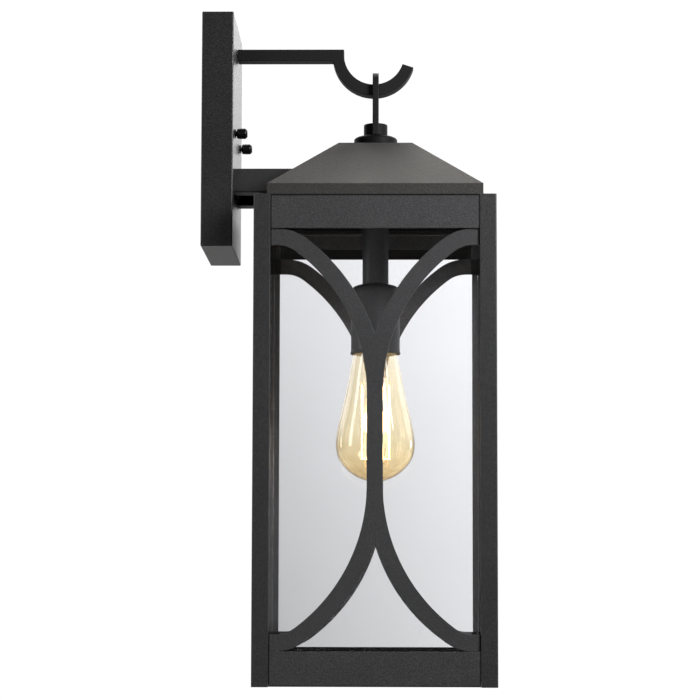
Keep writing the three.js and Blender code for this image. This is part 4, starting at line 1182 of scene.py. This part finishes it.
add("wire_live", fixture_wire(-1), BLACK_PVC, "live_wire", centre=False)
add("wire_neutral", fixture_wire(1), WHITE_PVC, "neutral_wire", centre=False)
add("wire_earth", ground_wire(), GREEN_PVC, "ground_wire", centre=False)

# ---------------------------------------------------------------- stage, lights and camera
FLOOR_DROP = 0.25  # how far the floor lies below the lantern
FLOOR_RADIUS = 4.0
CAMERA_AT = (0.13821, -1.9318, -0.3495)
CAMERA_YAW, CAMERA_PITCH, CAMERA_ROLL = (math.radians(a) for a in (-0.8125, 5.5706, 0.1228))
CAMERA_LENS, CAMERA_SENSOR = 130.80, 36.0


def camera():
    data = bpy.data.cameras.new("camera")
    data.lens, data.sensor_width = CAMERA_LENS, CAMERA_SENSOR
    data.clip_start, data.clip_end = 0.05, 50
    holder = in_scene("camera", data)
    level = math.cos(CAMERA_PITCH)
    ahead = Vector((math.sin(CAMERA_YAW) * level, math.cos(CAMERA_YAW) * level, math.sin(CAMERA_PITCH)))
    right = Vector((math.cos(CAMERA_YAW), -math.sin(CAMERA_YAW), 0))
    up = right.cross(ahead)
    c, s = math.cos(CAMERA_ROLL), math.sin(CAMERA_ROLL)
    right, up = right * c + up * s, up * c - right * s
    turn = Matrix((right, up, -ahead)).transposed().to_4x4()
    holder.matrix_world = Matrix.Translation(CAMERA_AT) @ turn
    bpy.context.scene.camera = holder


def soft_light(name, at, towards, size, power, colour=(1, 1, 1), only_gloss=False):
    """A soft lamp: a disc, or a panel if size is (width, height)."""
    data = bpy.data.lights.new(name, "AREA")
    data.energy, data.color = power, colour
    if isinstance(size, tuple):
        data.shape, (data.size, data.size_y) = "RECTANGLE", size
    else:
        data.shape, data.size = "DISK", size
    holder = in_scene(name, data)
    holder.location = at
    holder.rotation_mode = "QUATERNION"
    holder.rotation_quaternion = (Vector(towards) - Vector(at)).to_track_quat("-Z", "Y")
    holder.visible_camera = False
    holder.visible_diffuse = not only_gloss


WORLD_FRONT, WORLD_BACK, WORLD_BELOW = 0.10, 2.8, 0.13  # strengths
WORLD_SINK, WORLD_LIFT = (0.06, 0.26), (0.35, 0.85)  # heights between which it dims downwards, upwards
WORLD_ABOVE, WORLD_INSIDE, WORLD_SEEN = 0.35, 0.35, 1.02
BACKDROP_MIDDLE, BACKDROP_ACROSS, BACKDROP_UP, BACKDROP_RANGE = 0.95, 4.8, 2.65, (0.7, 1.45)


def studio_world():
    """White behind the lantern, dim in front of it and below, and dimmer for what is behind glass.
    Seen through the glass, the backdrop falls off softly to the left and downwards."""
    world = bpy.data.worlds.new("studio")
    bpy.context.scene.world = world
    world.use_nodes = True
    n = Nodes(world.node_tree)

    def mixed(factor, first, second):
        return n.node("ShaderNodeMix", {0: factor, 2: first, 3: second}).outputs[0]

    towards = n.split(n.node("ShaderNodeTexCoord").outputs["Generated"])
    path = n.node("ShaderNodeLightPath").outputs
    fade = n.span(towards["Y"], -0.3, 0.7, WORLD_FRONT, WORLD_BACK, interpolation_type="SMOOTHSTEP")
    sink = n.span(towards["Z"], *WORLD_SINK, WORLD_BELOW, 1.0)
    lift = n.span(towards["Z"], *WORLD_LIFT, 1.0, WORLD_ABOVE)
    rough_bounce = n.math("SUBTRACT", 1.0, path["Is Singular Ray"])
    inside = n.math("MULTIPLY", n.math("GREATER_THAN", path["Transmission Depth"], 0.5), rough_bounce)
    shade = n.math("MULTIPLY_ADD", inside, WORLD_INSIDE - 1, 1.0)
    room = n.math("MULTIPLY", n.math("MULTIPLY", fade, sink), n.math("MULTIPLY", lift, shade))

    across = n.math("MULTIPLY_ADD", towards["X"], BACKDROP_ACROSS, BACKDROP_MIDDLE)
    slope = n.math("MULTIPLY_ADD", towards["Z"], BACKDROP_UP, across)
    backdrop = n.math("MINIMUM", n.math("MAXIMUM", slope, BACKDROP_RANGE[0]), BACKDROP_RANGE[1])
    bounces = n.math("ADD", path["Diffuse Depth"], path["Glossy Depth"])
    first_pass = n.math("LESS_THAN", bounces, 0.5)
    through_glass = n.math("MULTIPLY", path["Is Transmission Ray"], first_pass)

    background = n.tree.nodes["Background"]
    background.inputs["Color"].default_value = (1, 1, 1, 1)
    strength = mixed(path["Is Camera Ray"], mixed(through_glass, room, backdrop), WORLD_SEEN)
    n.tree.links.new(strength, background.inputs["Strength"])


def pale_floor(height):
    """A pale disc that fades to the backdrop's white at its edge."""
    bm = bmesh.new()
    bmesh.ops.create_circle(bm, cap_ends=True, segments=128, radius=FLOOR_RADIUS)
    floor = placed("floor", bm)
    floor.location = (AXIS_X * MM, 0, height)
    f = Finish("pale_floor", Roughness=0.9, Specular_IOR_Level=0.2, Base_Color=(0.86, 0.86, 0.86, 1))
    away = f.node("ShaderNodeVectorMath", {0: f.where}, operation="LENGTH").outputs["Value"]
    edge = f.span(away, FLOOR_RADIUS * 0.35, FLOOR_RADIUS * 0.98, 0.0, 1.0)
    white = f.node("ShaderNodeEmission", {"Strength": 1.0})
    mix = f.node("ShaderNodeMixShader", {0: edge, 1: f.surface.outputs[0], 2: white.outputs[0]})
    f.tree.links.new(mix.outputs[0], f.output.inputs["Surface"])
    floor.data.materials.append(f.material)
    floor.visible_diffuse = floor.visible_glossy = False


def bulb_light():
    """The light that the filament gives; it rides with the bulb."""
    data = bpy.data.lights.new("bulb_light", "POINT")
    data.energy, data.color, data.shadow_soft_size = 0.03, (1.0, 0.62, 0.28), FILAMENT_CAGE * MM
    holder = in_scene("bulb_light", data)
    holder.location = (AXIS_X * MM, 0, FILAMENT_MIDDLE * MM)
    holder.parent = lit


low_corner, high_corner = CAD_BOX
centre = (low_corner + high_corner) / 2
bulb_middle = Vector((AXIS_X, 0, FILAMENT_MIDDLE)) * MM
camera()
studio_world()
pale_floor(low_corner.z - FLOOR_DROP)
soft_light("key", (0.80, -0.66, 0.25), centre, 0.5, 10.3, (0.98, 0.985, 1.0))
soft_light("fill", (-0.5, -1.4, -0.4), centre, 0.6, 2.6, (1.0, 0.985, 0.985))
soft_light("top", (0.20, 0.52, 1.0), (AXIS_X * MM, 0, -0.03), 0.4, 2.5, (1.0, 0.93, 0.87))
soft_light("streak", (-1.32, -0.30, 0.25), bulb_middle, (0.34, 1.2), 9, only_gloss=True)
soft_light("spot", (1.30, 0.95, -0.18), bulb_middle, 0.22, 1.3, only_gloss=True)
bulb_light()

view = bpy.context.scene.view_settings
view.view_transform = "Standard"
view.look = "None"
